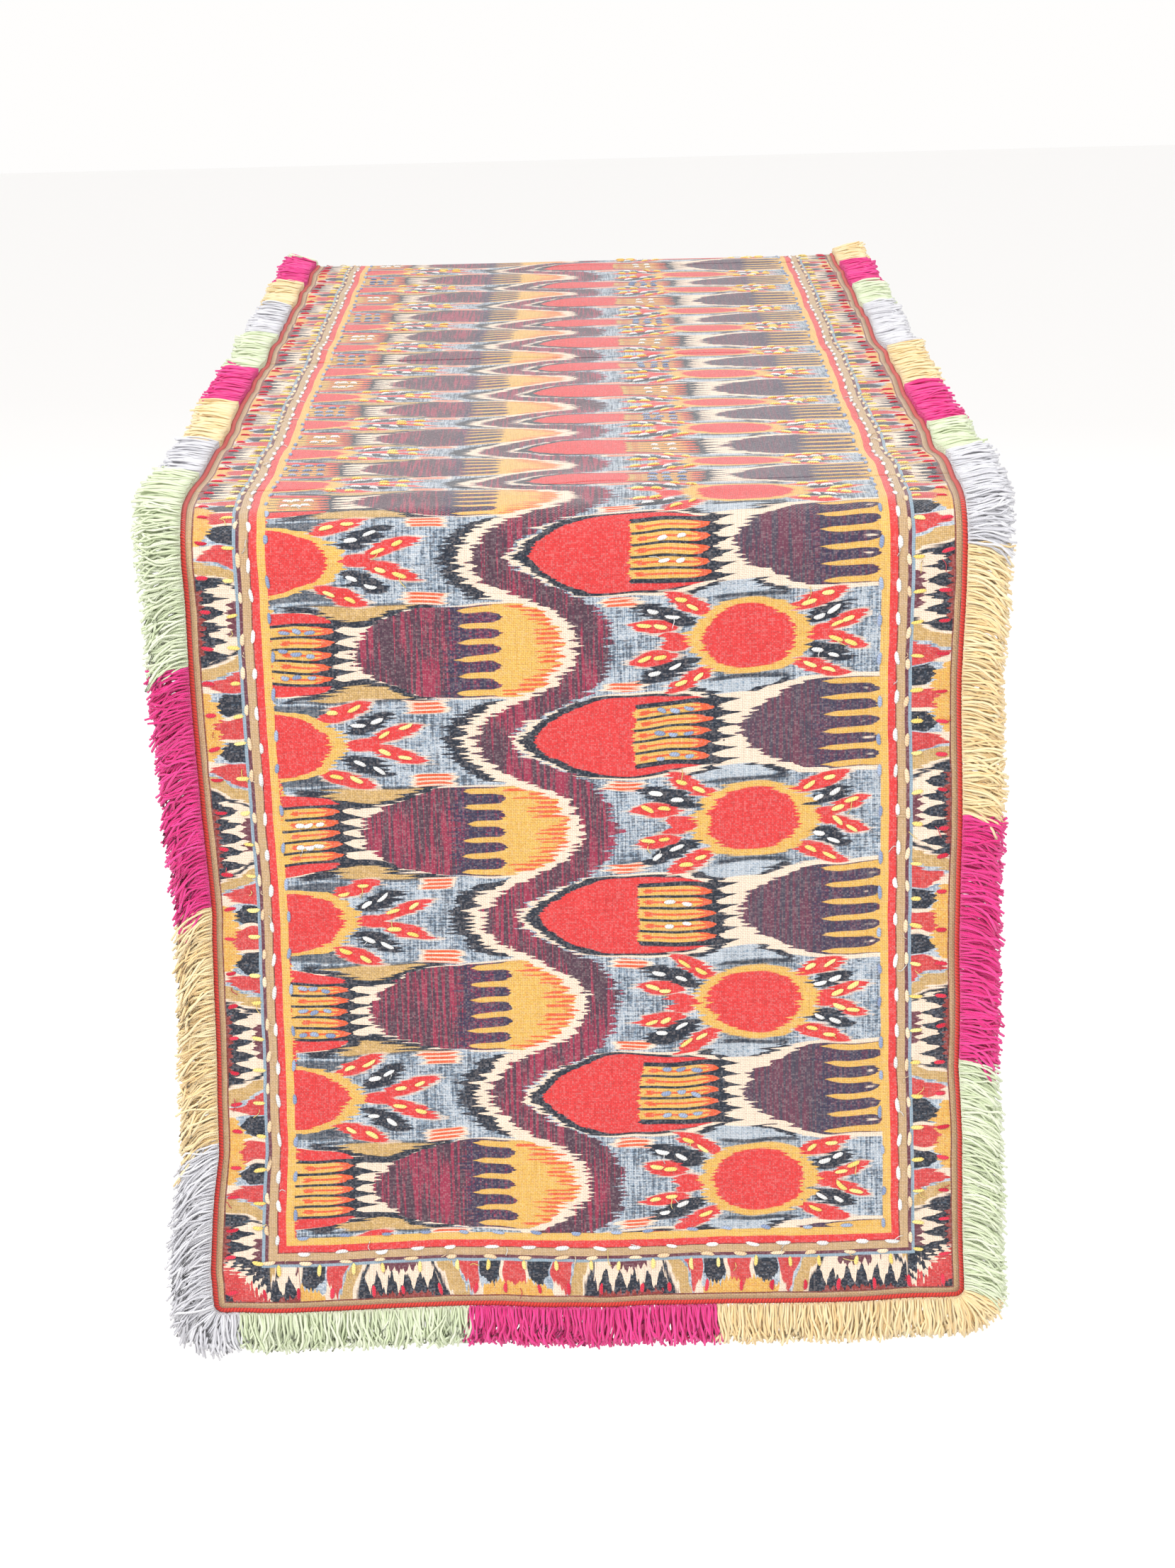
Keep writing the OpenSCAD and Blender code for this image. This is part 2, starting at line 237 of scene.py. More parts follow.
# %% Turn grids into pieces
def piece(name, points, faces, uv=None, material=None, strand=None):
    """A mesh object at the origin. faces is an array of polygons with one number of corners, or a list
    of such arrays; uv gives cloth coordinates, and strand a number from 0 to 1, for each vertex."""
    mesh = bpy.data.meshes.new(name)
    groups = [np.asarray(f) for f in (faces if isinstance(faces, list) else [faces])]
    corners = np.concatenate([f.ravel() for f in groups]).astype(np.int32)
    sizes = np.concatenate([np.full(len(f), f.shape[1]) for f in groups])
    mesh.vertices.add(len(points))
    mesh.vertices.foreach_set("co", np.asarray(points, np.float32).ravel())
    mesh.loops.add(len(corners))
    mesh.loops.foreach_set("vertex_index", corners)
    mesh.polygons.add(len(sizes))
    mesh.polygons.foreach_set("loop_start", (np.cumsum(sizes) - sizes).astype(np.int32))
    mesh.update(calc_edges=True)
    mesh.shade_smooth()
    if uv is not None:
        layer = mesh.uv_layers.new(name="cloth")
        layer.data.foreach_set("uv", np.asarray(uv, np.float32)[corners].ravel())
    if strand is not None:
        own = mesh.attributes.new("strand", "FLOAT", "POINT")
        own.data.foreach_set("value", np.asarray(strand, np.float32))
    if material is not None:
        mesh.materials.append(material)
    made = bpy.data.objects.new(name, mesh)
    bpy.context.scene.collection.objects.link(made)
    return made


def grid_faces(rows, columns, closed=False):
    """Quads between neighbouring points of a rows x columns grid; closed joins the last column to the first."""
    i, j = np.meshgrid(np.arange(rows - 1), np.arange(columns if closed else columns - 1), indexing="ij")
    k = (j + 1) % columns
    return np.stack([i * columns + j, i * columns + k, (i + 1) * columns + k, (i + 1) * columns + j], -1).reshape(-1, 4)


def steps(a, b, spacing):
    """Evenly spaced values from a to b, about spacing apart."""
    return np.linspace(a, b, max(2, int(round((b - a) / spacing)) + 1))


def rows_along(a, b, spacing, tight):
    """Values of s from a to b, closer together where the cloth bends."""
    marks = [m for m in (FRONT, S_FLAT, S_BACK, S_BACK + BEND) if a < m < b]
    runs = []
    for lo, hi in zip([a] + marks, marks + [b]):
        bent = lo in (FRONT, S_BACK)
        runs.append(steps(lo, hi, tight if bent else spacing)[:-1])
    return np.concatenate(runs + [[b]])


def cloth_panel(name, a, b, edge, t_low, t_high, spacing, material):
    """A closed panel of cloth between s = a and s = b: a top grid and a bottom grid joined round the rim.
    edge is how far the panel stops short of the runner's own edge."""
    x = steps(-HALF + edge, HALF - edge, spacing)
    s = rows_along(max(a, edge), min(b, LENGTH - edge), spacing, spacing / 2)
    X, S = np.meshgrid(x, s)
    top = lay(X, S, t_high).reshape(-1, 3)
    bottom = lay(X, S, t_low).reshape(-1, 3)
    rows, columns = X.shape
    upper = grid_faces(rows, columns)
    lower = upper[:, ::-1] + rows * columns
    i = np.arange(rows * columns).reshape(rows, columns)
    rim = np.concatenate([i[0, :-1], i[:-1, -1], i[-1, :0:-1], i[:0:-1, 0]])
    after = np.roll(rim, -1)
    side = np.stack([after, rim, rim + rows * columns, after + rows * columns], -1)
    flat = np.stack([X.ravel() * MM, S.ravel() * MM], -1)
    return piece(name, np.concatenate([top, bottom]), np.concatenate([upper, lower, side]), np.concatenate([flat, flat]), material)

# %% [markdown]
# ## Writing patterns as nodes
# The print has edges far finer than any vertex grid could hold, so its colours are worked out by
# shader nodes from the cloth's own flat coordinates. A small helper turns formulas into nodes.

# %% A helper that writes formulas into a node tree
class Draft:
    """Each call adds one node to the tree and gives back its first output."""

    def __init__(self, tree):
        self.tree = tree
        self.count = 0

    def node(self, kind, **settings):
        made = self.tree.nodes.new(kind)
        for setting, value in settings.items():
            setattr(made, setting, value)
        made.location = (self.count // 10 * 190, -self.count % 10 * 170)
        self.count += 1
        return made

    def put(self, socket, value):
        if isinstance(value, bpy.types.NodeSocket):
            self.tree.links.new(value, socket)
        else:
            socket.default_value = value

    def math(self, operation, *values, clamp=False):
        made = self.node("ShaderNodeMath", operation=operation, use_clamp=clamp)
        for socket, value in zip(made.inputs, values):
            self.put(socket, value)
        return made.outputs[0]

    def add(self, a, b):
        return self.math("ADD", a, b)

    def sub(self, a, b):
        return self.math("SUBTRACT", a, b)

    def mul(self, a, b):
        return self.math("MULTIPLY", a, b)

    def beyond(self, value, edge, crisp=2.5):
        """1 where value is past edge, 0 before it, with a ramp 1/crisp wide."""
        return self.math("MULTIPLY_ADD", self.sub(value, edge), crisp, 0.5, clamp=True)

    def both(self, *masks):
        result = masks[0]
        for mask in masks[1:]:
            result = self.mul(result, mask)
        return result

    def between(self, value, low, high, crisp=2.5):
        return self.mul(self.beyond(value, low, crisp), self.beyond(high, value, crisp))

    def curve(self, value, points):
        """A smooth curve through (input, output) points, level beyond its ends."""
        ins, outs = [p[0] for p in points], [p[1] for p in points]
        low, span = min(outs), max(max(outs) - min(outs), 1e-6)
        reach = ins[-1] - ins[0]
        made = self.node("ShaderNodeFloatCurve")
        line = made.mapping.curves[0]
        while len(line.points) < len(points):
            line.points.new(0.5, 0.5)
        for point, (a, b) in zip(line.points, points):
            point.location = ((a - ins[0]) / reach, (b - low) / span)
        made.mapping.update()
        self.put(made.inputs["Value"], self.math("MULTIPLY_ADD", value, 1 / reach, -ins[0] / reach, clamp=True))
        return self.math("MULTIPLY_ADD", made.outputs[0], span, low)

    def join(self, x, y, z=0.0):
        made = self.node("ShaderNodeCombineXYZ")
        for socket, value in zip(made.inputs, (x, y, z)):
            self.put(socket, value)
        return made.outputs[0]

    def split(self, vector):
        made = self.node("ShaderNodeSeparateXYZ")
        self.put(made.inputs[0], vector)
        return made.outputs[0], made.outputs[1]

    def noise(self, x, y, scale_x, scale_y, detail=2.0, shift=0.0):
        """Smooth noise from 0 to 1, with its own scale across and along."""
        made = self.node("ShaderNodeTexNoise", noise_dimensions="2D")
        made.inputs["Scale"].default_value = 1
        made.inputs["Detail"].default_value = detail
        place = self.join(
            self.math("MULTIPLY_ADD", x, scale_x, shift), self.math("MULTIPLY_ADD", y, scale_y, shift * 1.7)
        )
        self.put(made.inputs["Vector"], place)
        return made.outputs["Fac"]

    def grain(self, x, y=0.0):
        """A different number from 0 to 1 for each pair of whole numbers."""
        made = self.node("ShaderNodeTexWhiteNoise", noise_dimensions="2D")
        self.put(made.inputs["Vector"], self.join(x, y))
        return made.outputs["Value"]

    def over(self, under, colour, mask):
        """Lays a colour over another through a mask."""
        made = self.node("ShaderNodeMix", data_type="RGBA", clamp_factor=True)
        self.put(made.inputs["Factor"], mask)
        self.put(made.inputs["A"], under)
        self.put(made.inputs["B"], colour)
        return made.outputs["Result"]

    def use(self, group, **values):
        """Places a node group, with its inputs named as keyword arguments."""
        made = self.node("ShaderNodeGroup", node_tree=group)
        for name, value in values.items():
            self.put(made.inputs[name.replace("_", " ")], value)
        return made.outputs


def new_group(name, inputs, outputs):
    """An empty node group with named sockets: returns its draft, its input sockets and its output node."""
    group = bpy.data.node_groups.new(name, "ShaderNodeTree")
    for label, kind, value in inputs:
        socket = group.interface.new_socket(label, in_out="INPUT", socket_type=kind)
        if value is not None:
            socket.default_value = value
    for label, kind in outputs:
        group.interface.new_socket(label, in_out="OUTPUT", socket_type=kind)
    draft = Draft(group)
    entry = draft.node("NodeGroupInput")
    exit_ = draft.node("NodeGroupOutput")
    return group, draft, entry.outputs, exit_.inputs


def dye(red, green, blue):
    """A colour given on a 0 to 255 scale, as linear light."""
    return tuple(((v / 255 + 0.055) / 1.055) ** 2.4 if v > 10 else v / 3294.6 for v in (red, green, blue)) + (1.0,)


FLOAT, COLOUR = "NodeSocketFloat", "NodeSocketColor"

# %% [markdown]
# ## Ikat slip and plain weave
# In ikat the threads are dyed before they are woven, so each one sits a little to the side of its
# neighbour and every edge ends in needle-like steps. The slip group moves x thread by thread.
# The weave group gives the threads themselves: a height for the bump, and a painted shade for the colour that is darker
# in the gaps between threads.

# %% The slip group
slip_group, d, given, out = new_group(
    "ikat slip",
    [("X", FLOAT, 0.0), ("S", FLOAT, 0.0), ("Reach", FLOAT, 3.0), ("Row", FLOAT, 1.9)],
    [("X", FLOAT)],
)
row = d.math("DIVIDE", given["S"], given["Row"])
patch = d.math("FLOOR", d.mul(given["X"], 1 / 34))
step_ = d.grain(d.math("FLOOR", row), patch)
needle = d.math("PINGPONG", row, 0.5)
broad = d.noise(given["X"], given["S"], 0.03, 0.42, 1.0)
fine = d.noise(given["X"], given["S"], 0.12, 1.6, 1.0, 40.0)
push = d.sub(d.mul(d.mul(step_, needle), 3.2), 0.8)
push = d.add(push, d.mul(d.sub(broad, 0.5), 2.2))
push = d.add(push, d.mul(d.sub(fine, 0.5), 0.9))
thread = d.grain(d.math("FLOOR", d.mul(given["S"], 1 / 0.86)), patch)
push = d.add(push, d.mul(d.sub(thread, 0.5), 0.75))
d.put(out["X"], d.add(given["X"], d.mul(push, given["Reach"])))

# %% The weave group
weave_group, d, given, out = new_group(
    "plain weave",
    [("X", FLOAT, 0.0), ("S", FLOAT, 0.0), ("Pitch", FLOAT, 0.9)],
    [("Height", FLOAT), ("Painted shade", FLOAT), ("Fleck", FLOAT)],
)
across = d.math("DIVIDE", given["X"], given["Pitch"])
along = d.math("DIVIDE", given["S"], given["Pitch"])
ridge_a = d.math("ABSOLUTE", d.math("SINE", d.mul(across, math.pi)))
ridge_b = d.math("ABSOLUTE", d.math("SINE", d.mul(along, math.pi)))
cell = d.add(d.math("FLOOR", across), d.math("FLOOR", along))
over_under = d.math("FLOORED_MODULO", cell, 2.0)
height = d.add(d.mul(ridge_a, over_under), d.mul(ridge_b, d.sub(1.0, over_under)))
d.put(out["Height"], height)
# Painted shade: the colour darkens where the threads dip into the gaps of the weave
d.put(out["Painted shade"], d.math("MULTIPLY_ADD", height, 0.34, 0.74))
fleck = d.grain(d.math("FLOOR", across), d.math("FLOOR", along))
slub = d.noise(given["X"], given["S"], 0.25, 1.1, 3.0, 12.0)
d.put(out["Fleck"], d.math("MULTIPLY_ADD", fleck, 0.45, d.mul(slub, 0.55)))
print("groups", slip_group.name, weave_group.name)

# %% [markdown]
# ## The printed field
# One repeat holds two rows half a repeat apart, and each is its own mirror image, so the design only
# needs a: the distance from the nearest row of suns, from 0 at that row to half a repeat at the row
# of red lobes. An outline is a curve: x for each a, or a for each x. The colours are laid down in
# order, as a block printer would, each over the last.

# %% Colours of the print
RED, YELLOW, CREAM = dye(220, 58, 58), dye(227, 179, 94), dye(238, 214, 192)
NAVY, PLUM, CRIMSON = dye(28, 36, 50), dye(84, 54, 70), dye(168, 46, 78)
ORANGE, KHAKI, TAN = dye(226, 92, 52), dye(190, 154, 96), dye(194, 162, 122)
NIGHT_BLUE = dye(40, 44, 76)
PALE_BLUE, MIST = dye(128, 148, 168), dye(190, 198, 206)
STRIPE_BLUE = dye(142, 164, 180)

# %% Measures of the print, in millimetres
REPEAT = 87.7
HALF_REPEAT = REPEAT / 2
FIRST_SUN = 62.8
SUN_X = 79.5
FIELD_X = 138.6
PENCIL_PITCH = 5.55
FINGER_PITCH = 8.0

# The winding stem and its flames: x for each distance a from the row of suns
FLAME_LEFT = [(24, -38), (27, -50), (30, -55), (34, -59), (38, -61), (HALF_REPEAT, -62.5)]
CREAM_LEFT = [(0, -7), (7, -8.5), (12, -12), (17, -18), (20, -24), (22.5, -32), (25, -38), (28, -43),
              (31, -47.5), (35, -51.5), (HALF_REPEAT, -54.5)]
STEM_LEFT = [(0, 0), (7, -1.5), (13, -6), (18, -13), (22, -21), (26, -30), (29, -36), (33, -42),
             (38, -46.5), (HALF_REPEAT, -48.5)]
STEM_RIGHT = [(0, 16), (8, 15), (14, 12.5), (18, 9), (21, 5), (24, 0), (27, -7), (30, -14.5),
              (34, -22), (38.5, -28.5), (HALF_REPEAT, -32)]
# The dark lobes: x of the left end for each a
LOBE_AT_SUN_ROW = [(0, -103), (6, -101), (11, -96), (15, -89), (18, -80), (20.5, -70), (22, -56)]
LOBE_AT_RED_ROW = [(21.5, 118), (22.6, 110), (23.6, 104), (25.5, 98), (28, 92), (31, 84.5), (34, 80), (38, 75.5),
                   (HALF_REPEAT, 73)]
# The cream outline over the pencils and the dark lobe on the left: a for each x
ARCH_LEFT = [(-140, 20.5), (-128, 19), (-120, 16.6), (-111, 13.8), (-103, 12.4), (-96, 13.2), (-88, 15.6),
             (-80, 18.2), (-70, 20.8), (-60, 22.2), (-48, 23)]
# The cream outline over the red lobe, the bow and the dark lobe on the right
ARCH_RIGHT = [(-34, 44), (-28, 38.5), (-21, 34), (-14, 30), (-6, 27), (0, 25), (6, 23.9), (15, 23.2),
              (40, 23.2), (50, 24.8), (60, 28), (68, 30.3), (74, 30.5), (80, 28.8), (86, 25.6), (92, 23.2),
              (100, 21.5), (112, 20.4), (140, 20)]
RED_RIM = [(-29, 44), (-24.5, 40), (-20, 36), (-14, 32), (-9, 29), (-3, 26.5), (2, 25), (8, 24.3), (20, 24),
           (40, 24.4), (48, 26), (56, 28.6), (64, 31)]
RED_LOBE = [(-21, 44), (-18.5, 40), (-15.5, 37), (-9.5, 33), (-4, 30), (3, 27.5), (8, 26), (14, 25.2),
            (30, 25), (42, 25.9), (52, 27.2), (60, 28.8), (66, 30.5)]
# Half the height of a dark finger along its length, from its root to its tip
FINGER = [(0, 4.3), (2.5, 3.4), (5, 2.8), (12, 2.6), (17.5, 2.4), (20, 1.4), (21.5, -0.6)]

# Leaves: (x, a, turn in degrees, half length, half width), about each row
SUN_LEAVES_RED = [(51.5, 18.3, -28, 13, 3.8), (35, 7.6, -6, 11, 3.4), (111, 16.5, 17, 14, 3.6),
                  (123, 4.6, 20, 11, 3.2), (46, 1.5, -8, 8, 3.0), (112, 1.2, 6, 7, 2.8)]
SUN_LEAVES_NAVY = [(40.5, 13.4, -20, 15, 4.2), (115, 9.6, 19, 11, 3.8)]
HALF_SUN_LEAVES_RED = [(-108, 27.2, -18, 14, 3.6), (-84.5, 38.4, -17, 14.5, 3.3), (-101, 43.4, -4, 10, 2.6)]
HALF_SUN_LEAVES_NAVY = [(-97, 33.4, -22, 13, 4.2)]

# %% The leaf group
leaf_group, d, given, out = new_group(
    "leaf",
    [("X", FLOAT, 0.0), ("A", FLOAT, 0.0), ("Leaf X", FLOAT, 0.0), ("Leaf A", FLOAT, 0.0), ("Turn", FLOAT, 0.0),
     ("Half length", FLOAT, 10.0), ("Half width", FLOAT, 3.0)],
    [("Mask", FLOAT)],
)
dx, da = d.sub(given["X"], given["Leaf X"]), d.sub(given["A"], given["Leaf A"])
turn = d.math("RADIANS", given["Turn"])
c, s_ = d.math("COSINE", turn), d.math("SINE", turn)
length = d.math("DIVIDE", d.add(d.mul(dx, c), d.mul(da, s_)), given["Half length"])
width = d.math("ABSOLUTE", d.sub(d.mul(da, c), d.mul(dx, s_)))
room = d.mul(d.sub(1.0, d.math("POWER", d.math("ABSOLUTE", length), 2.4)), given["Half width"])
d.put(out["Mask"], d.beyond(room, width, 1.6))


def leaves(d, x, a, table, grow=1.0):
    """One mask for all the leaves in a table."""
    mask = None
    for leaf_x, leaf_a, turn, half_length, half_width in table:
        one = d.use(leaf_group, X=x, A=a, Leaf_X=leaf_x, Leaf_A=leaf_a, Turn=float(turn),
                    Half_length=half_length * grow, Half_width=half_width * grow)[0]
        mask = one if mask is None else d.math("MAXIMUM", mask, one)
    return mask


# %% The field group: coordinates
field_group, d, given, out = new_group("printed field", [("X", FLOAT, 0.0), ("S", FLOAT, 0.0)], [("Color", COLOUR)])
X, S = given["X"], given["S"]
warped_x = d.add(X, d.mul(d.sub(d.noise(X, S, 0.03, 0.03, 1.0, 5.0), 0.5), 5.0))
warped_s = d.add(S, d.mul(d.sub(d.noise(X, S, 0.03, 0.03, 1.0, 65.0), 0.5), 4.0))
v = d.math("WRAP", d.sub(warped_s, FIRST_SUN), HALF_REPEAT, -HALF_REPEAT)
a = d.math("ABSOLUTE", v)
b = d.sub(HALF_REPEAT, a)
long_x = d.use(slip_group, X=warped_x, S=S, Reach=3.3)[0]
far_x = d.use(slip_group, X=warped_x, S=S, Reach=6.5, Row=1.7)[0]
mid_x = d.use(slip_group, X=warped_x, S=S, Reach=2.1, Row=1.6)[0]
near_x = d.use(slip_group, X=warped_x, S=S, Reach=1.15, Row=1.3)[0]
fleck = d.use(weave_group, X=X, S=S)["Fleck"]
thread_noise = d.noise(X, S, 0.5, 1.2, 3.0, 30.0)

# Grounds: speckled grey-blue, streaked plum, mottled navy
cloud = d.noise(X, S, 0.09, 0.07, 2.0, 20.0)
warp_line = d.noise(X, S, 1.1, 0.06, 1.0, 50.0)
weft_line = d.noise(X, S, 0.06, 1.1, 1.0, 70.0)
lines = d.add(d.mul(d.sub(warp_line, 0.5), 0.8), d.mul(d.sub(weft_line, 0.5), 0.6))
blue_ground = d.over(PALE_BLUE, MIST, d.beyond(d.add(d.add(fleck, lines), d.mul(cloud, 0.6)), 0.8, 2.0))
blue_ground = d.over(blue_ground, NAVY, d.mul(d.beyond(d.sub(thread_noise, lines), d.math("MULTIPLY_ADD", cloud, 0.6, 0.31), 3.0), 0.72))
streak = d.noise(X, S, 0.75, 0.028, 2.0, 90.0)
drift = d.noise(X, S, 0.05, 0.02, 1.0, 110.0)
reddish = d.mul(d.beyond(d.add(d.add(streak, d.mul(fleck, 0.2)), d.mul(drift, 0.5)), 0.9, 6.0), 0.8)
plum_ground = d.over(d.over(PLUM, NAVY, d.mul(d.beyond(thread_noise, 0.52, 4.0), 0.35)), CRIMSON, reddish)
dusk_ground = d.over(dye(70, 64, 80), dye(86, 58, 76), d.beyond(d.add(streak, d.mul(fleck, 0.3)), 0.6, 5.0))
dusk_ground = d.over(dusk_ground, CRIMSON, d.mul(reddish, 0.22))
navy_ground = d.over(NAVY, PALE_BLUE, d.mul(d.beyond(fleck, 0.72, 5.0), 0.25))
red_ground = d.over(RED, dye(192, 44, 46), d.mul(d.beyond(fleck, 0.6, 4.0), 0.5))
yellow_ground = d.over(YELLOW, dye(214, 160, 66), d.mul(d.beyond(fleck, 0.55, 4.0), 0.6))
khaki_ground = d.over(KHAKI, dye(226, 190, 130), d.mul(d.beyond(fleck, 0.55, 4.0), 0.5))

# Distance from the nearest pencil's middle, and from the nearest dark finger's middle
pencil = d.mul(d.math("PINGPONG", d.math("DIVIDE", v, PENCIL_PITCH), 0.5), PENCIL_PITCH)
far_pencil = d.mul(d.math("PINGPONG", d.math("DIVIDE", b, PENCIL_PITCH), 0.5), PENCIL_PITCH)
finger = d.mul(d.math("PINGPONG", d.math("DIVIDE", v, FINGER_PITCH), 0.5), FINGER_PITCH)
far_finger = d.mul(d.math("PINGPONG", d.math("DIVIDE", b, FINGER_PITCH), 0.5), FINGER_PITCH)


def pencils(d, under, x, a_row, q, start, knot, tip):
    """A row of pencils from start to tip: dark flames past the tips, red tips, yellow bodies, a dark line
    between neighbours and a red core with a knot at its near end. q is the distance from a pencil's middle."""
    inside = d.beyond(13.9, a_row)
    flames = d.beyond(d.math("MULTIPLY_ADD", d.math("POWER", q, 2.0), 1.45, tip + 2.2), x)
    colour = d.over(under, navy_ground, d.both(d.beyond(15.5, a_row), flames, d.beyond(x, start)))
    tips = d.beyond(d.sub(tip + 1.0, d.mul(d.math("POWER", q, 2.0), 1.5)), x)
    colour = d.over(colour, ORANGE, d.both(inside, tips, d.beyond(x, start)))
    bodies = d.beyond(d.sub(tip - 3.5, d.mul(d.math("POWER", q, 2.0), 1.3)), x)
    colour = d.over(colour, yellow_ground, d.both(inside, bodies, d.beyond(x, start)))
    core = d.math("MAXIMUM", d.beyond(0.5, q, 3.0), d.both(d.beyond(1.1, q, 3.0), d.between(x, knot, knot + 3.5)))
    colour = d.over(colour, ORANGE, d.both(inside, core, d.between(x, knot - 0.5, tip - 2)))
    lines = d.both(d.beyond(q, PENCIL_PITCH / 2 - 0.62, 3.0), d.between(x, start, tip + 1), d.beyond(14.6, a_row))
    return d.over(colour, navy_ground, lines)


def fingers(d, under, x, q, root, stretch, limit):
    """Yellow cloth with dark fingers reaching into it: root is the x where the fingers part."""
    along = d.mul(d.sub(x, root), 1 / stretch)
    dark = d.beyond(d.curve(along, FINGER), q)
    return d.over(under, yellow_ground, d.mul(d.sub(1.0, dark), d.mul(d.beyond(x, root), limit)))


print("field group started")

# %% The field group: left side
arch = d.curve(far_x, ARCH_LEFT)
left = d.over(blue_ground, navy_ground, d.both(d.between(a, 24.5, 30.5, 1.2), d.beyond(-108.0, long_x, 0.2), 0.75))
left = d.over(left, CREAM, d.both(d.beyond(arch, a)))
left = d.over(left, navy_ground, d.both(d.between(a, arch, d.add(arch, 3.4)), d.between(long_x, -134, -66, 0.3)))
left = d.over(left, khaki_ground, d.both(d.beyond(a, d.add(arch, 2.9)), d.beyond(22.4, a), d.between(far_x, -120, -78, 0.5)))
left = d.over(left, navy_ground, d.both(d.between(a, 22.0, 23.4), d.between(long_x, -130, -74, 0.3), 0.7))
inside_lobe = d.both(d.beyond(long_x, d.curve(a, LOBE_AT_SUN_ROW)), d.beyond(22.0, a))
left = d.over(left, plum_ground, inside_lobe)
left = d.over(left, NIGHT_BLUE, d.both(inside_lobe, d.beyond(long_x, -60, 0.3), d.beyond(thread_noise, 0.4, 4.0), 0.85))
left = fingers(d, left, near_x, finger, -56.0, 1.0, d.beyond(22.0, a))
to_cream = d.sub(d.curve(a, CREAM_LEFT), long_x)
needle_end = d.math("MULTIPLY_ADD", d.grain(d.math("FLOOR", d.mul(S, 1 / 1.1)), 3.0), 11.0, 3.5)
needle_row = d.beyond(d.math("PINGPONG", d.mul(S, 1 / 2.2), 0.5), 0.2, 6.0)
left = d.over(left, ORANGE, d.both(d.between(to_cream, -2.0, needle_end, 0.9), needle_row, d.beyond(21.0, a)))
cap_end = d.curve(a, [(14, -112), (16, -114), (18, -119), (19.4, -130), (20.2, -140)])
left = pencils(d, left, near_x, a, pencil, -147.0, -135.5, -113.0)
left = d.over(left, red_ground, d.both(d.beyond(a, 14.6), d.beyond(cap_end, near_x)))
bars = d.both(d.between(b, 15.2, 21.4), d.between(mid_x, -78, -59, 0.6))
left = d.over(left, CREAM, bars)
left = d.over(left, ORANGE, d.both(bars, d.beyond(d.math("PINGPONG", d.mul(b, 1 / 1.9), 0.5), 0.17, 5.0), d.between(mid_x, -76, -61, 0.6)))
left = d.over(left, CREAM, d.mul(leaves(d, long_x, a, HALF_SUN_LEAVES_RED, 1.16), 0.6))
left = d.over(left, navy_ground, leaves(d, long_x, a, HALF_SUN_LEAVES_NAVY))
left = d.over(left, red_ground, leaves(d, mid_x, a, HALF_SUN_LEAVES_RED))
rim_end = d.curve(b, [(0, -108), (6, -110), (11, -116), (14, -124), (16.5, -136), (17.2, -142)])
sun_end = d.curve(b, [(0, -114.5), (5, -116), (9, -120), (12.5, -128), (14.8, -137), (15.2, -142)])
left = d.over(left, yellow_ground, d.beyond(rim_end, long_x))
left = d.over(left, red_ground, d.beyond(sun_end, mid_x))
left = d.over(left, navy_ground, d.both(d.beyond(long_x, d.curve(a, FLAME_LEFT)), d.beyond(a, 24.0)))
left = d.over(left, CREAM, d.beyond(long_x, d.curve(a, CREAM_LEFT)))
left = d.over(left, plum_ground, d.beyond(long_x, d.curve(a, STEM_LEFT)))

# %% The field group: right side
arch = d.curve(d.math("MULTIPLY_ADD", d.sub(far_x, long_x), 0.5, long_x), ARCH_RIGHT)
deep = d.both(d.between(a, 12.0, 20.0, 0.4), d.between(warped_x, 62, 98, 0.1), 0.35)
side = d.over(blue_ground, navy_ground, deep)
side = d.over(side, MIST, d.both(d.between(a, 20.6, 29.0, 1.5), d.between(warped_x, 52, 92, 0.5), d.beyond(thread_noise, 0.45, 5.0), 0.8))
side = d.over(side, navy_ground, d.both(d.between(a, 18.6, 20.4, 1.4), d.between(long_x, 62, 96, 0.4), 0.85))
side = d.over(side, navy_ground, d.both(d.between(a, d.sub(arch, 2.6), arch), d.between(long_x, 45, 96, 0.4)))
side = d.over(side, CREAM, d.beyond(a, arch))
side = d.over(side, navy_ground, d.both(d.beyond(a, d.curve(mid_x, RED_RIM)), d.beyond(70, long_x, 0.5)))
side = d.over(side, CREAM, d.both(d.beyond(a, 27.0), d.beyond(long_x, 64.0)))
side = d.over(side, red_ground, d.both(d.beyond(a, d.curve(near_x, RED_LOBE)), d.beyond(63.0, near_x)))
side = pencils(d, side, near_x, b, far_pencil, 26.0, 29.0, 61.0)
inside_lobe = d.both(d.beyond(long_x, d.curve(a, LOBE_AT_RED_ROW)), d.beyond(a, 22.0))
side = d.over(side, dusk_ground, inside_lobe)
side = d.over(side, NIGHT_BLUE, d.both(inside_lobe, d.beyond(long_x, 108, 0.2), d.beyond(thread_noise, 0.46, 5.0), 0.7))
side = fingers(d, side, near_x, far_finger, 111.0, 1.34, d.beyond(a, 22.2))
tick = d.both(d.beyond(0.5, far_finger), d.between(near_x, 132.0, 136.5, 0.6), d.beyond(a, 24.0))
side = d.over(side, CREAM, d.both(tick, d.beyond(cloud, 0.53, 12.0), 0.9))
bars = d.both(d.between(a, d.math("MULTIPLY_ADD", warped_x, -0.08, 19.6), d.math("MULTIPLY_ADD", warped_x, -0.08, 24.2)), d.between(long_x, 11, 30, 0.6), d.beyond(22.6, a))
side = d.over(side, CREAM, bars)
side = d.over(side, ORANGE, d.both(bars, d.beyond(d.math("PINGPONG", d.mul(a, 1 / 1.8), 0.5), 0.16, 5.0), d.between(long_x, 14, 27, 0.6)))
side = d.over(side, CREAM, d.mul(leaves(d, long_x, a, SUN_LEAVES_RED, 1.16), 0.6))
side = d.over(side, navy_ground, leaves(d, long_x, a, SUN_LEAVES_NAVY))
side = d.over(side, red_ground, leaves(d, mid_x, a, SUN_LEAVES_RED))
from_sun = d.math("ABSOLUTE", d.sub(long_x, SUN_X))
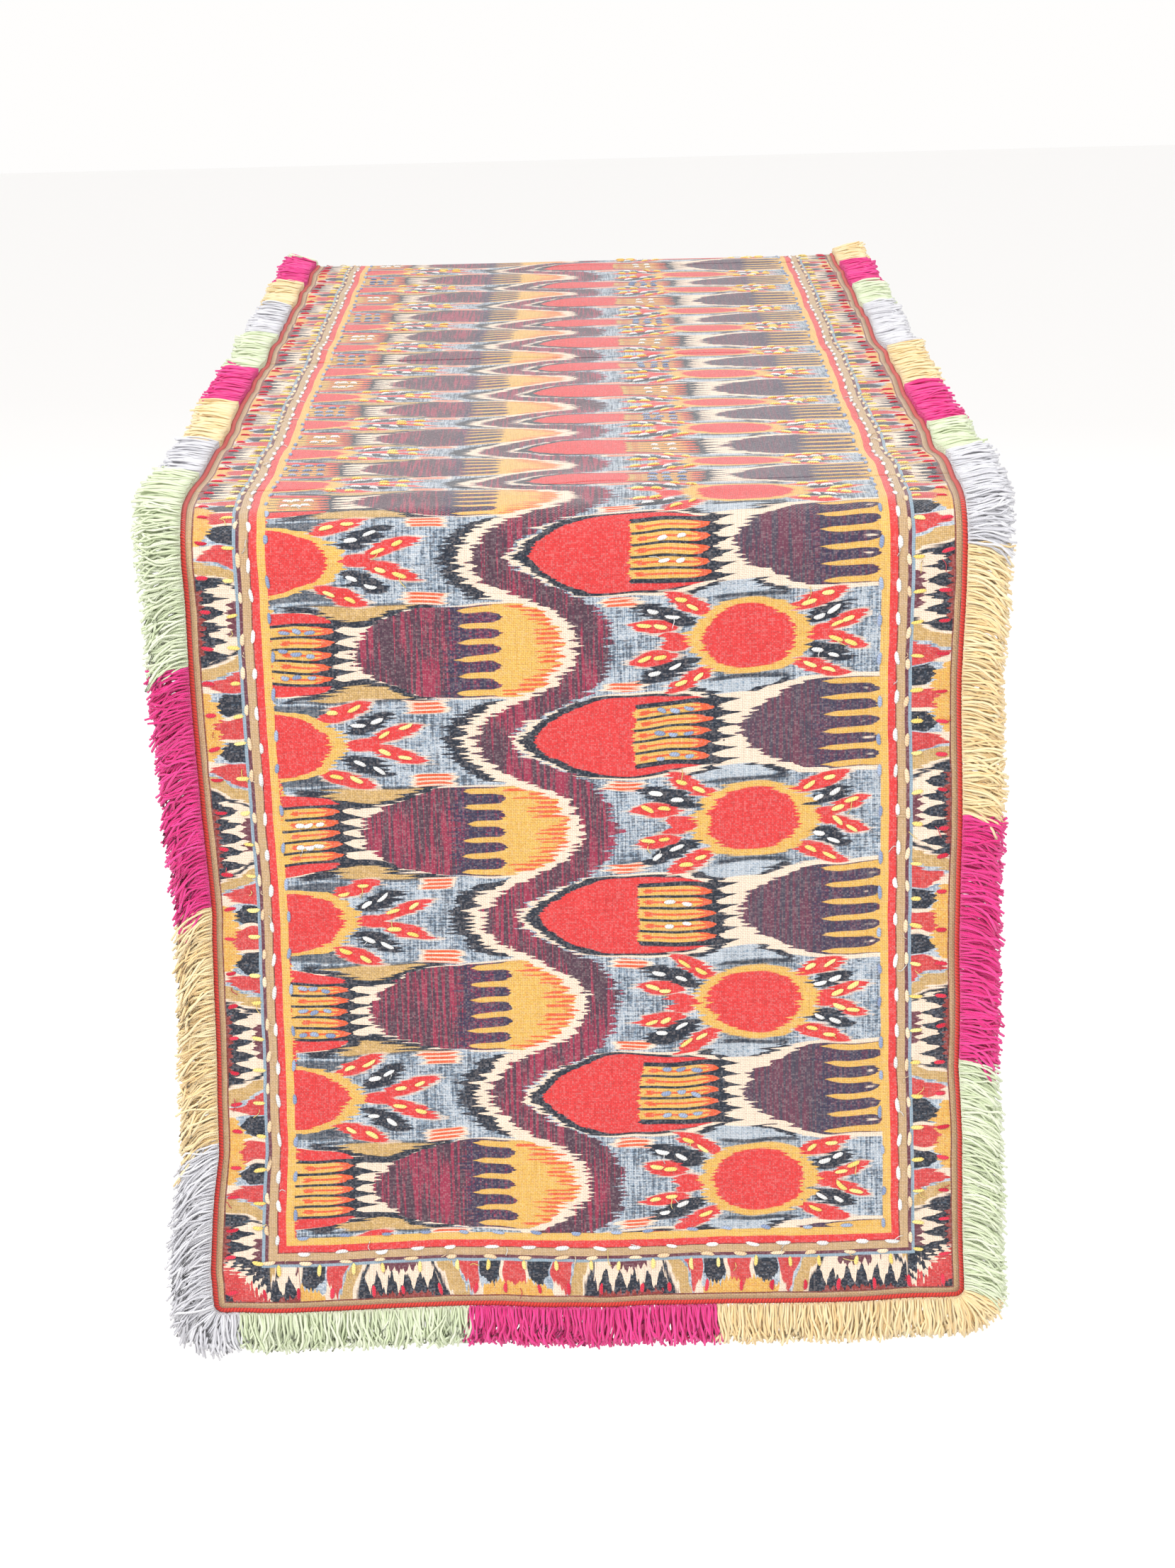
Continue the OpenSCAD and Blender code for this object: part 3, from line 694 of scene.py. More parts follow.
rim = d.add(d.math("POWER", d.mul(from_sun, 1 / 28.5), 2.1), d.math("POWER", d.mul(a, 1 / 18.2), 2.1))
disc_x = d.math("ABSOLUTE", d.sub(mid_x, SUN_X))
disc = d.add(d.math("POWER", d.mul(disc_x, 1 / 21.5), 2.1), d.math("POWER", d.mul(a, 1 / 15.2), 2.1))
side = d.over(side, yellow_ground, d.beyond(1.0, rim, 12.0))
side = d.over(side, red_ground, d.beyond(1.0, disc, 12.0))
colour = d.over(left, side, d.beyond(long_x, d.curve(a, STEM_RIGHT)))
d.put(out["Color"], colour)
print("field group", len(field_group.nodes), "nodes")

# %% [markdown]
# ## The printed border
# The border is printed in the same pass as the field: plain stripes that follow every edge and meet
# at mitred corners, with a narrow ikat band of their own between them. The distance from the nearest
# edge picks the stripe. In the band, m is the distance from the middle of the nearest cream bow, and
# the slip runs towards the edge, so the flames point across the band on all four sides.

# %% The border group
SIDE_REPEAT, FIRST_SIDE_BOW = 104.0, 31.0
HEM_REPEAT, HEM_BOW = 108.0, 18.0
BAND_OUT = 6.0
STRIPES = [(23.4, STRIPE_BLUE), (24.9, dye(104, 52, 66)), (26.5, TAN), (30.4, dye(120, 44, 44)), (30.9, RED), (34.4, YELLOW)]
border_group, d, given, out = new_group(
    "printed border",
    [("X", FLOAT, 0.0), ("S", FLOAT, 0.0), ("Half width", FLOAT, 178.0), ("Length", FLOAT, 1780.0), ("Field", COLOUR, None)],
    [("Color", COLOUR)],
)
X, S = given["X"], given["S"]
from_side = d.sub(given["Half width"], d.math("ABSOLUTE", X))
from_hem = d.math("MINIMUM", S, d.sub(given["Length"], S))
edge = d.math("MINIMUM", from_side, from_hem)
edge = d.add(edge, d.mul(d.sub(d.noise(X, S, 0.05, 0.05, 2.0, 7.0), 0.5), 1.0))
on_side = d.beyond(from_hem, from_side, 4.0)
t = d.add(d.mul(S, on_side), d.mul(X, d.sub(1.0, on_side)))
w = d.sub(edge, BAND_OUT)
long_w = d.use(slip_group, X=w, S=t, Reach=2.2, Row=1.9)[0]
near_w = d.use(slip_group, X=w, S=t, Reach=1.1, Row=1.4)[0]
m_side = d.math("ABSOLUTE", d.math("WRAP", d.sub(S, FIRST_SIDE_BOW), SIDE_REPEAT / 2, -SIDE_REPEAT / 2))
m_hem = d.math("ABSOLUTE", d.math("WRAP", d.sub(X, HEM_BOW), HEM_REPEAT / 2, -HEM_REPEAT / 2))
m_hem = d.mul(m_hem, SIDE_REPEAT / HEM_REPEAT)
m = d.add(d.mul(m_side, on_side), d.mul(m_hem, d.sub(1.0, on_side)))
near_corner = d.both(d.beyond(from_side, 24.0), d.beyond(40.0, from_side), d.beyond(24.0, from_hem))
m = d.math("MULTIPLY_ADD", near_corner, d.sub(d.math("MULTIPLY_ADD", from_side, -0.9, 43.0), m), m)
m = d.add(m, d.mul(d.sub(d.noise(X, S, 0.06, 0.06, 1.0, 33.0), 0.5), 6.0))
lean = d.add(m, d.mul(d.sub(long_w, 8.0), 0.36))
fleck = d.use(weave_group, X=X, S=S)["Fleck"]
cloud = d.noise(X, S, 0.12, 0.12, 2.0, 20.0)
misty = d.over(PALE_BLUE, MIST, d.beyond(d.add(fleck, d.mul(cloud, 0.6)), 0.74, 3.0))
dark = d.over(NAVY, PALE_BLUE, d.mul(d.beyond(fleck, 0.7, 5.0), 0.3))
khaki = d.over(KHAKI, dye(214, 182, 130), d.mul(d.beyond(fleck, 0.5, 4.0), 0.5))
red = d.over(dye(196, 58, 60), dye(222, 84, 80), d.mul(d.beyond(fleck, 0.5, 4.0), 0.5))
gold = d.over(YELLOW, dye(216, 150, 62), d.mul(d.beyond(fleck, 0.5, 4.0), 0.6))
tooth = d.mul(d.math("PINGPONG", d.math("DIVIDE", t, 6.8), 0.5), 6.8)
small_tooth = d.mul(d.math("PINGPONG", d.math("DIVIDE", t, 3.4), 0.5), 3.4)
flame_end = d.sub(12.8, d.mul(tooth, 3.1))
band = d.over(CREAM, dark, d.both(d.beyond(flame_end, long_w), d.beyond(22.0, m)))
band = d.over(band, dye(150, 56, 50), d.both(d.beyond(d.sub(2.6, d.mul(small_tooth, 1.4)), near_w), d.beyond(15.0, m), 0.9))
plum_end = d.sub(d.math("MULTIPLY_ADD", small_tooth, 1.9, 12.4), d.mul(d.sub(8.0, m), 0.1))
band = d.over(band, dye(104, 52, 66), d.both(d.beyond(near_w, plum_end), d.beyond(8.5, m)))
band = d.over(band, dark, d.beyond(lean, 17.2, 1.2))
band = d.over(band, CREAM, d.beyond(lean, 18.8, 1.2))
band = d.over(band, khaki, d.beyond(lean, 20.2))
band = d.over(band, misty, d.beyond(lean, 26.2))
band = d.over(band, red, d.beyond(lean, 27.6))
counter = d.sub(m, d.mul(d.sub(long_w, 8.0), 0.5))
band = d.over(band, CREAM, d.beyond(counter, 35.0, 1.2))
band = d.over(band, misty, d.both(d.beyond(m, 35.0), d.beyond(near_w, 3.0)))
eye = d.math("MULTIPLY", d.math("ABSOLUTE", d.sub(m, 40.6)), 1.3)
band = d.over(band, dark, d.both(d.beyond(d.sub(near_w, 3.2), d.add(eye, 0.6)), d.beyond(6.4, eye)))
band = d.over(band, CREAM, d.both(d.beyond(m, 45.2), d.beyond(near_w, 3.0)))
band = d.over(band, red, d.both(d.beyond(m, 46.9), d.beyond(near_w, 3.4)))
gold_end = d.math("MULTIPLY_ADD", d.math("ABSOLUTE", d.sub(m, 45.6)), -0.55, 7.6)
band = d.over(band, gold, d.both(d.beyond(m, 35.5), d.beyond(gold_end, long_w)))
# The mitred corners: a red patch in the angle, cream needles round it and a dark leaf inside
from_angle = d.add(d.sub(from_side, 7.0), d.sub(from_hem, 7.0))
from_angle = d.add(from_angle, d.mul(d.sub(long_w, w), 1.5))
in_corner = d.beyond(27.0, d.math("MAXIMUM", from_side, from_hem), 1.0)
ray = d.mul(d.math("PINGPONG", d.mul(d.sub(from_side, from_hem), 1 / 5.4), 0.5), 5.4)
corner = d.over(CREAM, dark, d.beyond(from_angle, d.math("MULTIPLY_ADD", ray, -2.6, 25.5), 1.2))
corner = d.over(corner, red, d.beyond(d.math("MULTIPLY_ADD", ray, 1.3, 15.4), from_angle, 1.2))
corner = d.over(corner, dark, d.beyond(1.5, from_angle, 1.2))
band = d.over(band, corner, in_corner)
strip = d.over(dye(120, 56, 50), TAN, d.between(edge, 2.6, 5.3, 2.4))
colour = d.over(strip, band, d.beyond(edge, BAND_OUT, 3.0))
for start, shade in STRIPES:
    colour = d.over(colour, shade, d.beyond(edge, start, 3.0))
d.put(out["Color"], d.over(colour, given["Field"], d.beyond(edge, 38.2, 3.0)))
print("border group", len(border_group.nodes), "nodes")

# %% [markdown]
# ## Cloth and thread finishes
# Each finish is a Principled shader with its plain numbers on the sockets. Cotton has no clear shine,
# only a soft sheen, so the roughness is high and the weave does the rest.

# %% The printed face cloth
def fabric(name, roughness, sheen):
    """A material with a Principled shader set up for cotton: returns it, its draft and the shader's inputs."""
    material = bpy.data.materials.new(name)
    material.use_nodes = True
    shader = material.node_tree.nodes["Principled BSDF"].inputs
    shader["Roughness"].default_value = roughness
    shader["Specular IOR Level"].default_value = 0.25
    shader["Sheen Weight"].default_value = sheen
    shader["Sheen Roughness"].default_value = 0.5
    return material, Draft(material.node_tree), shader


def cloth_coordinates(d):
    """The piece's own flat coordinates, in millimetres, from its UV map."""
    place = d.node("ShaderNodeUVMap", uv_map="cloth").outputs[0]
    x, s = d.split(place)
    return d.mul(x, 1 / MM), d.mul(s, 1 / MM)


def bump(d, shader, height, depth):
    """Raises the surface by depth metres where height is 1."""
    made = d.node("ShaderNodeBump")
    made.inputs["Strength"].default_value = 1
    made.inputs["Distance"].default_value = depth
    d.put(made.inputs["Height"], height)
    d.put(shader["Normal"], made.outputs[0])


def tinted(d, colour, shade):
    """A colour multiplied by a shade."""
    made = d.node("ShaderNodeMix", data_type="RGBA", blend_type="MULTIPLY")
    made.inputs["Factor"].default_value = 1
    d.put(made.inputs["A"], colour)
    d.put(made.inputs["B"], d.join(shade, shade, shade))
    return made.outputs["Result"]


print_look, d, shader = fabric("printed cotton", 0.88, 0.32)
x, s = cloth_coordinates(d)
field = d.use(field_group, X=x, S=s)["Color"]
printed = d.use(border_group, X=x, S=s, Half_width=HALF, Length=LENGTH, Field=field)["Color"]
weave = d.use(weave_group, X=x, S=s, Pitch=0.85)
mottle = d.math("MULTIPLY_ADD", d.noise(x, s, 0.8, 1.3, 3.0, 3.0), 0.3, 0.85)
warp_tone = d.math("MULTIPLY_ADD", d.noise(x, s, 1.0, 0.04, 1.0, 15.0), 0.26, 0.87)
weft_tone = d.math("MULTIPLY_ADD", d.noise(x, s, 0.04, 1.0, 1.0, 25.0), 0.22, 0.89)
# Pale flecks over the print: partly the weave's pale fibres, partly a painted sheen that lifts the dark colours
pale_fibres_and_sheen = d.mul(d.beyond(weave["Fleck"], 0.6, 3.5), 0.12)
printed = d.over(printed, dye(232, 216, 212), pale_fibres_and_sheen)
# Painted shade from the weave height, darker in the gaps between threads, times a random mottle and thread streaks
weave_shade_and_tone = d.mul(d.mul(d.math("MULTIPLY_ADD", weave["Height"], 0.42, 0.68), mottle), d.mul(warp_tone, weft_tone))
d.put(shader["Base Color"], tinted(d, printed, weave_shade_and_tone))
bump(d, shader, weave["Height"], 0.0002)

# %% The plain cloths
def plain_cloth(name, colour, pitch, depth):
    """Undyed or single-colour woven cloth, with painted shade in the gaps between threads."""
    material, d, shader = fabric(name, 0.9, 0.15)
    x, s = cloth_coordinates(d)
    weave = d.use(weave_group, X=x, S=s, Pitch=pitch)
    # shade: painted shade from the weave height, darker in the gaps between threads, times a random tone per thread
    shade = d.mul(d.math("MULTIPLY_ADD", weave["Height"], 0.2, 0.84), d.math("MULTIPLY_ADD", weave["Fleck"], 0.16, 0.9))
    d.put(shader["Base Color"], tinted(d, colour, shade))
    bump(d, shader, weave["Height"], depth)
    return material


lining_look = plain_cloth("lining cotton", dye(226, 214, 188), 0.8, 0.00012)
header_look = plain_cloth("fringe tape", dye(176, 160, 140), 1.4, 0.0002)

# %% Twisted yarns and threads
def twisted(name, colour, lighter, darker, twist, depth, roughness=0.85, sheen=0.3, deep=0.74):
    """Spun cotton: diagonal twist from the UV map (u along in metres, v once round), painted shade in the twist's
    grooves down to deep times the colour, and each strand a little lighter or darker by its own number."""
    material, d, shader = fabric(name, roughness, sheen)
    u, v = d.split(d.node("ShaderNodeUVMap", uv_map="cloth").outputs[0])
    turn = d.add(d.mul(u, 1 / (twist * MM)), v)
    ply = d.math("ABSOLUTE", d.math("SINE", d.mul(turn, math.pi * 2)))
    own = d.node("ShaderNodeAttribute", attribute_name="strand").outputs["Fac"]
    shade = d.over(darker, lighter, own)
    # Painted shade in the grooves of the twist: deep is how dark the bottom of a groove is painted
    painted_groove_shade = d.math("MULTIPLY_ADD", ply, 1 - deep, deep)
    d.put(shader["Base Color"], tinted(d, d.over(shade, colour, 0.45), painted_groove_shade))
    bump(d, shader, ply, depth)
    return material


# deep sets the painted shade in the twist grooves of the piping, the yarns and the threads
piping_look = twisted("piping", dye(220, 60, 50), dye(232, 84, 70), dye(196, 42, 42), 3.0, 0.0005, deep=0.64)
YARNS = {
    "pink": twisted("pink yarn", dye(242, 44, 142), dye(254, 84, 170), dye(220, 22, 114), 1.6, 0.0002, deep=0.9),
    "yellow": twisted("yellow yarn", dye(255, 230, 174), dye(255, 242, 204), dye(255, 208, 138), 1.6, 0.0002, sheen=0.5, deep=0.94),
    "grey": twisted("grey yarn", dye(232, 231, 236), dye(246, 246, 250), dye(202, 202, 210), 1.6, 0.0002, deep=0.86),
    "mint": twisted("mint yarn", dye(236, 245, 210), dye(250, 254, 234), dye(208, 224, 174), 1.6, 0.0002, deep=0.86),
}
THREADS = {
    "white": twisted("white thread", dye(238, 238, 236), dye(250, 250, 250), dye(214, 214, 214), 2.4, 0.0002, 0.6),
    "cream": twisted("cream thread", dye(244, 214, 176), dye(252, 230, 200), dye(226, 186, 142), 2.4, 0.0002, 0.6),
    "blue": twisted("blue thread", dye(148, 164, 196), dye(182, 196, 218), dye(108, 126, 168), 2.4, 0.0002, 0.6),
    "yellow": twisted("yellow thread", dye(250, 222, 122), dye(254, 240, 170), dye(236, 194, 84), 2.4, 0.0002, 0.6),
    "red": twisted("crimson thread", dye(222, 30, 62), dye(238, 66, 92), dye(176, 12, 44), 2.4, 0.0002, 0.6),
}
print("finishes", len(bpy.data.materials))

# %% [markdown]
# ## How a piece crosses a bend
# Each drop turns on a hinge that stands for the bend. A piece can cross one joint only. Whatever runs the whole length
# is made as a front half and a back half that meet mid-table, and each finished piece has its placement baked into its
# mesh.

# %% Bake a piece's placement, and list the CAD parts a half stands for
def across_bend(made):
    """Bakes a finished piece's placement into its mesh."""
    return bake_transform(made)


def three_parts(stem, end):
    """The CAD nodes of one layer that a half stands for."""
    return [f"{stem}_span", f"{stem}_{end}_drop", f"{stem}_{end}_fold"]


# %% [markdown]
# ## Face cloth and lining
# The face is one length of printed cotton. It is made as four panels cut straight across, each with
# the print carried over the cut, so that each keeps a fine grid.

# %% Face cloth panels and lining panels
PANEL_CUT = 445.0
cuts = [0, PANEL_CUT, S_MID, LENGTH - 529.0, LENGTH]
for name, lo, hi, end in (
    ("face_front", cuts[0], cuts[1], "front"),
    ("face_middle_front", cuts[1], cuts[2], None),
    ("face_middle_back", cuts[2], cuts[3], None),
    ("face_back", cuts[3], cuts[4], "back"),
):
    panel = cloth_panel(name, lo, hi, PIPING_W, FACE_LO, FACE_HI, 3.0, print_look)
    if end:
        across_bend(panel)
        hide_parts("face_span", f"face_{end}_drop", f"face_{end}_fold")
    else:
        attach(panel, "table_span")
        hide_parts("face_span")
    print(name, len(panel.data.polygons), "quads")

for end, lo, hi in (("front", 0, S_MID), ("back", S_MID, LENGTH)):
    panel = cloth_panel(f"lining_{end}", lo, hi, 0.6, 0.0, LINING_T - 0.05, 4.0, lining_look)
    across_bend(panel)
    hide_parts(*three_parts("lining", end))

# %% [markdown]
# ## Round the edge
# The piping, the fringe tape and the sewn rows all follow the runner's edge at their own distance from
# it. Each end is worked out in its own coordinates, p across and r up from that end's hem, and the
# back end is the front end turned half round.

# %% The path round one end
CORNER = 5.0


def end_length(end):
    return S_MID if end == "front" else LENGTH - S_MID


def to_cloth(end, p, r):
    """An end's own coordinates to cloth coordinates."""
    return (p, r) if end == "front" else (-p, LENGTH - r)


def edge_path(end, inset, spacing):
    """Points down the p = +HALF side, round the corner, along the hem and up the other side, at a
    distance inside the edge: arrays p, r, the outward direction (op, orr) and the distance walked."""
    radius = max(CORNER - inset, 0.6)
    side, hem = HALF - inset, inset
    quarter = np.linspace(0, math.pi / 2, 8)[1:-1]
    down = np.arange(end_length(end), hem + radius, -spacing)
    rows = [np.stack([np.full_like(down, side), down, np.ones_like(down), np.zeros_like(down)], -1)]
    for centre, start in ((side - radius, 0.0), (-side + radius, -math.pi / 2)):
        angle = start - np.concatenate([[0], quarter, [math.pi / 2]])
        arc = [centre + radius * np.cos(angle), hem + radius + radius * np.sin(angle), np.cos(angle), np.sin(angle)]
        rows.append(np.stack(arc, -1))
        if start == 0:
            along = np.arange(centre - spacing, -side + radius, -spacing)
            rows.append(np.stack([along, np.full_like(along, hem), np.zeros_like(along), -np.ones_like(along)], -1))
    rise = np.append(np.arange(hem + radius + spacing, end_length(end), spacing), end_length(end))
    rows.append(np.stack([np.full_like(rise, -side), rise, -np.ones_like(rise), np.zeros_like(rise)], -1))
    p, r, op, orr = np.concatenate(rows).T
    walked = np.concatenate([[0], np.cumsum(np.hypot(np.diff(p), np.diff(r)))])
    return p, r, op, orr, walked


def edge_strip(name, end, inset, section, spacing, material):
    """Carries a closed section, a list of (outwards, height) points, round an end's edge."""
    p, r, op, orr, walked = edge_path(end, inset, spacing)
    section = np.asarray(section)
    P = p[:, None] + op[:, None] * section[:, 0]
    R = r[:, None] + orr[:, None] * section[:, 0]
    x, s = to_cloth(end, P, R)
    points = lay(x, s, section[:, 1])
    count = len(section)
    uv = np.stack(np.broadcast_arrays(walked[:, None] * MM, np.arange(count) / count), -1)
    first, last = np.arange(count)[None, ::-1], np.arange(count)[None] + (len(p) - 1) * count
    faces = [grid_faces(len(p), count, closed=True), first, last]
    return piece(name, points.reshape(-1, 3), faces, uv.reshape(-1, 2), material, np.full(points.size // 3, 0.5))


def oval(width, height, centre_height, sides):
    """An oval section, counted so that carried round the edge its faces point outwards."""
    turn = np.arange(sides) / sides * 2 * math.pi
    return np.stack([width / 2 * np.cos(turn), centre_height + height / 2 * np.sin(turn)], -1)


for end in ("front", "back"):
    piping = edge_strip(f"piping_{end}", end, 1.45, oval(2.5, 2.1, FACE_LO + 0.5, 10), 1.5, piping_look)
    tape = edge_strip(f"fringe_tape_{end}", end, 4.0, oval(7.6, 0.26, (LINING_T + FACE_LO) / 2, 8), 4.0, header_look)
    for made, stem, slot in ((piping, "piping", "piping"), (tape, "header", "header_tape")):
        across_bend(made)
        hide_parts(*three_parts(stem, end))
    print(piping.name, len(piping.data.polygons), "quads;", tape.name, len(tape.data.polygons))

# %% [markdown]
# ## Brush fringe
# The fringe is hundreds of short cotton yarns, sewn side by side in a few layers and cut to one length.
# Each yarn is a thin five-sided tube along its own curve. A curve is worked out in the cloth's
# coordinates first: out from the edge, sideways with the pull of gravity and a little curl, and up or
# down through the fringe's depth. Hair particles would be quicker to place but leave no mesh.

# %% Colours along the edge, as stretches in millimetres from the front hem or from the left edge
RIGHT_RUN = [("mint", 120), ("pink", 116), ("yellow", 127), ("grey", 119), ("mint", 97), ("pink", 128),
             ("yellow", 116), ("grey", 171), ("mint", 103), ("pink", 124), ("yellow", 118), ("grey", 118),
             ("mint", 118), ("pink", 118), ("yellow", 87)]
LEFT_RUN = [("grey", 88), ("yellow", 116), ("pink", 118), ("mint", 157), ("grey", 90), ("yellow", 123),
            ("pink", 112), ("mint", 139), ("grey", 114), ("yellow", 116), ("pink", 123), ("mint", 118),
            ("grey", 118), ("yellow", 118), ("pink", 130)]
HEM_RUN = {"front": [("grey", 12), ("mint", 107), ("pink", 119), ("yellow", 118)],
           "back": [("pink", 89), ("mint", 118), ("grey", 118), ("yellow", 31)]}
COLOURS = list(YARNS)


def colour_at(run, where):
    """The number of the yarn colour at each distance along a run."""
    ends = np.cumsum([length for _, length in run])
    names = np.array([COLOURS.index(colour) for colour, _ in run])
    return names[np.clip(np.searchsorted(ends, where), 0, len(run) - 1)]


# %% Yarns as tubes
RINGS, SIDES = 7, 4


def tubes(centres, radii, sides):
    """Tubes round many centrelines at once. centres is (tubes, rings, 3) and radii (tubes, rings). Each
    ring stands square to the line from the ring before to the ring after. Returns points and faces."""
    count, rings, _ = centres.shape
    ahead = np.gradient(centres, axis=1)
    ahead /= np.linalg.norm(ahead, axis=-1, keepdims=True) + 1e-12
    reference = np.where(np.abs(ahead[..., 2:]) > 0.9, np.array([1.0, 0, 0]), np.array([0, 0, 1.0]))
    one = np.cross(reference, ahead)
    one /= np.linalg.norm(one, axis=-1, keepdims=True) + 1e-12
    two = np.cross(ahead, one)
    turn = np.arange(sides) / sides * 2 * math.pi
    circle = one[:, :, None] * np.cos(turn)[:, None] + two[:, :, None] * np.sin(turn)[:, None]
    points = centres[:, :, None] + circle * radii[:, :, None, None]
    first = np.arange(count)[:, None, None] * rings * sides
    body = (first + grid_faces(rings, sides, closed=True)[None]).reshape(-1, 4)
    start = (first[:, 0] + np.arange(sides)[None, ::-1]).reshape(-1, sides)
    end = (first[:, 0] + (rings - 1) * sides + np.arange(sides)[None]).reshape(-1, sides)
    return points.reshape(-1, 3), [body, start, end]


def fringe_lines(end, spacing, low, high, seed):
    """Centrelines for one layer of yarns round an end, with their colours. low and high are the
    heights of the layer's roots. Roots crowd together at the corners, where the fringe fans out.
    With u from 0 at the root to 1 at the tip, a yarn goes out by reach (u - 0.12 u^2), and slides
    downhill by droop u^1.7."""
    rng = np.random.default_rng(seed)
    p, r, op, orr, walked = edge_path(end, 0.5, spacing)
    fanning = np.hypot(np.diff(op, prepend=op[0]), np.diff(orr, prepend=orr[0])) > 1e-3
    copies = np.where(fanning, 5, 1)
    p, r, op, orr, walked = (np.repeat(v, copies) for v in (p, r, op, orr, walked))
    fanned = np.repeat(fanning, copies)
    count = len(p)
    angle = np.arctan2(orr, op) + np.where(fanned, rng.uniform(-0.13, 0.13, count), 0) + rng.normal(0, 0.07, count)
    op, orr = np.cos(angle), np.sin(angle)
    tangent_p, tangent_r = -orr, op
    slide = rng.uniform(-0.6, 0.6, count) * spacing
    p, r = p + tangent_p * slide, np.minimum(r + tangent_r * slide, end_length(end))
    u = np.linspace(0, 1, RINGS)[None]
    straight = FRONT if end == "front" else BACK
    hanging = smooth((straight + 14 - r) / 28)
    sideways = np.abs(op)
    lock = np.sin(walked / 8.0 + 2.4 * np.sin(walked / 19.0 + seed) + 1.5 * np.sin(walked / 43.0))
    pull = 0.55 + 0.45 * np.sin(walked / 37.0 + 1.3 * np.sin(walked / 71.0) + 0.4)
    reach = 0.7 + FRINGE * np.where(sideways > 0.7, rng.uniform(0.84, 1.02, count), rng.uniform(0.78, 0.93, count))
    heavy = np.where(to_cloth(end, p, r)[0] < 0, 1.45, 1.0)
    droop = hanging * sideways * np.sign(op) * np.maximum(rng.normal(5.0, 2.2, count) + 4.5 * pull, 0.5) * heavy
    reach = np.where(sideways > 0.7, reach - 0.16 * np.abs(droop), reach)
    curl = rng.normal(0, 2.2, count) + lock * 2.4
    hook = rng.uniform(0, 2.6, count) * np.where(sideways > 0.7, 1, 0.35) * heavy
    wave, turns = rng.uniform(0, 2 * math.pi, count)[:, None], rng.uniform(1.2, 2.8, count)[:, None]
    out = reach[:, None] * (u - 0.12 * u**2) - hook[:, None] * u**4
    bend = np.sin(turns * math.pi * u + wave) - np.sin(wave)
    aside = curl[:, None] * u**1.5 - droop[:, None] * u**1.7 + (1.3 * heavy[:, None]) * bend * u
    root = rng.uniform(low, high, count)
    tip = np.clip(root + rng.normal(0.3, 1.5, count), 0.7, FRINGE_T - 1.0)
    puff = rng.uniform(0.2, 1.7, count)
    height = root[:, None] * (1 - u) + tip[:, None] * u + puff[:, None] * np.sin(math.pi * u) + 0.3 * bend * u
    lifted = 3.0 * np.exp(-((r - straight - BEND) / 30) ** 2) * (end == "back")
    away_p = p[:, None] + op[:, None] * out + tangent_p[:, None] * aside
    away_r = r[:, None] + orr[:, None] * out + tangent_r[:, None] * aside
    x, s = to_cloth(end, away_p, away_r)
    centres = lay(x, s, np.clip(height, 0.6, FRINGE_T - 0.6) + lifted[:, None] * u)
    root_x, root_s = to_cloth(end, p, r)
    hem = colour_at(HEM_RUN[end], root_x + HALF)
    along_side = np.where(root_x > 0, colour_at(RIGHT_RUN, root_s), colour_at(LEFT_RUN, root_s))
    corner = np.where(root_x > 0, hem_corner(end, 1), hem_corner(end, -1))
    near_corner = (np.abs(root_x) > HALF - CORNER) & (np.minimum(root_s, LENGTH - root_s) < CORNER)
    colour = np.where(near_corner, corner, np.where(np.abs(orr) > 0.75, hem, along_side))
    return centres, colour, rng.uniform(0, 1, count)


def hem_corner(end, side):
    run = HEM_RUN[end]
    return COLOURS.index(run[-1 if side > 0 else 0][0])


# %% Make the fringe
YARN_RADIUS = 0.5
LAYERS = [(0.95, 0.7, 1.2), (0.95, 1.2, 2.2), (1.0, 2.2, 3.2), (1.0, 3.0, 4.2), (1.3, 4.0, 5.0)]
for e, end in enumerate(("front", "back")):
    layers = [fringe_lines(end, spacing, lo, hi, 11 + e * 50 + k) for k, (spacing, lo, hi) in enumerate(LAYERS)]
    centres, colours, own = (np.concatenate(v) for v in zip(*layers))
    thick = np.array([0.85, 1, 1, 1.02, 1.08, 1.16, 1.08]) * YARN_RADIUS * MM
    for k, colour in enumerate(COLOURS):
        mine = colours == k
        lines, shade = centres[mine], own[mine]
        points, faces = tubes(lines, np.tile(thick, (len(lines), 1)) * (0.88 + 0.24 * shade[:, None]), SIDES)
        walked = np.cumsum(np.linalg.norm(np.diff(lines, axis=1, prepend=lines[:, :1]), axis=-1), axis=1)
        u = np.repeat((walked + shade[:, None] * 0.01).reshape(-1), SIDES)
        v = np.tile(np.arange(SIDES) / SIDES, lines.shape[0] * RINGS)
        fringe = piece(f"fringe_{colour}_{end}", points, faces, np.stack([u, v], -1), YARNS[colour],
                       np.repeat(shade, RINGS * SIDES))
        across_bend(fringe)
        nodes = [n for n in (f"fringe_{colour}_span", f"fringe_{colour}_{end}_drop", f"fringe_{colour}_{end}_fold")
                 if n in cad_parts]
        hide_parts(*nodes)
        print(fringe.name, len(lines), "yarns,", len(fringe.data.polygons), "faces")

# %% [markdown]
# ## Embroidery
# The sewing is running stitch in thick cotton: each visible stitch is a short raised bar with blunt
# ends that dive back into the cloth. A bar is a grid of rings whose width swells quickly from each
# end, laid on the face. Hand sewing is never even, so each bar has its own length, turn and place.

# %% Stitches on the cloth
STITCH_RINGS, STITCH_SIDES = 7, 6


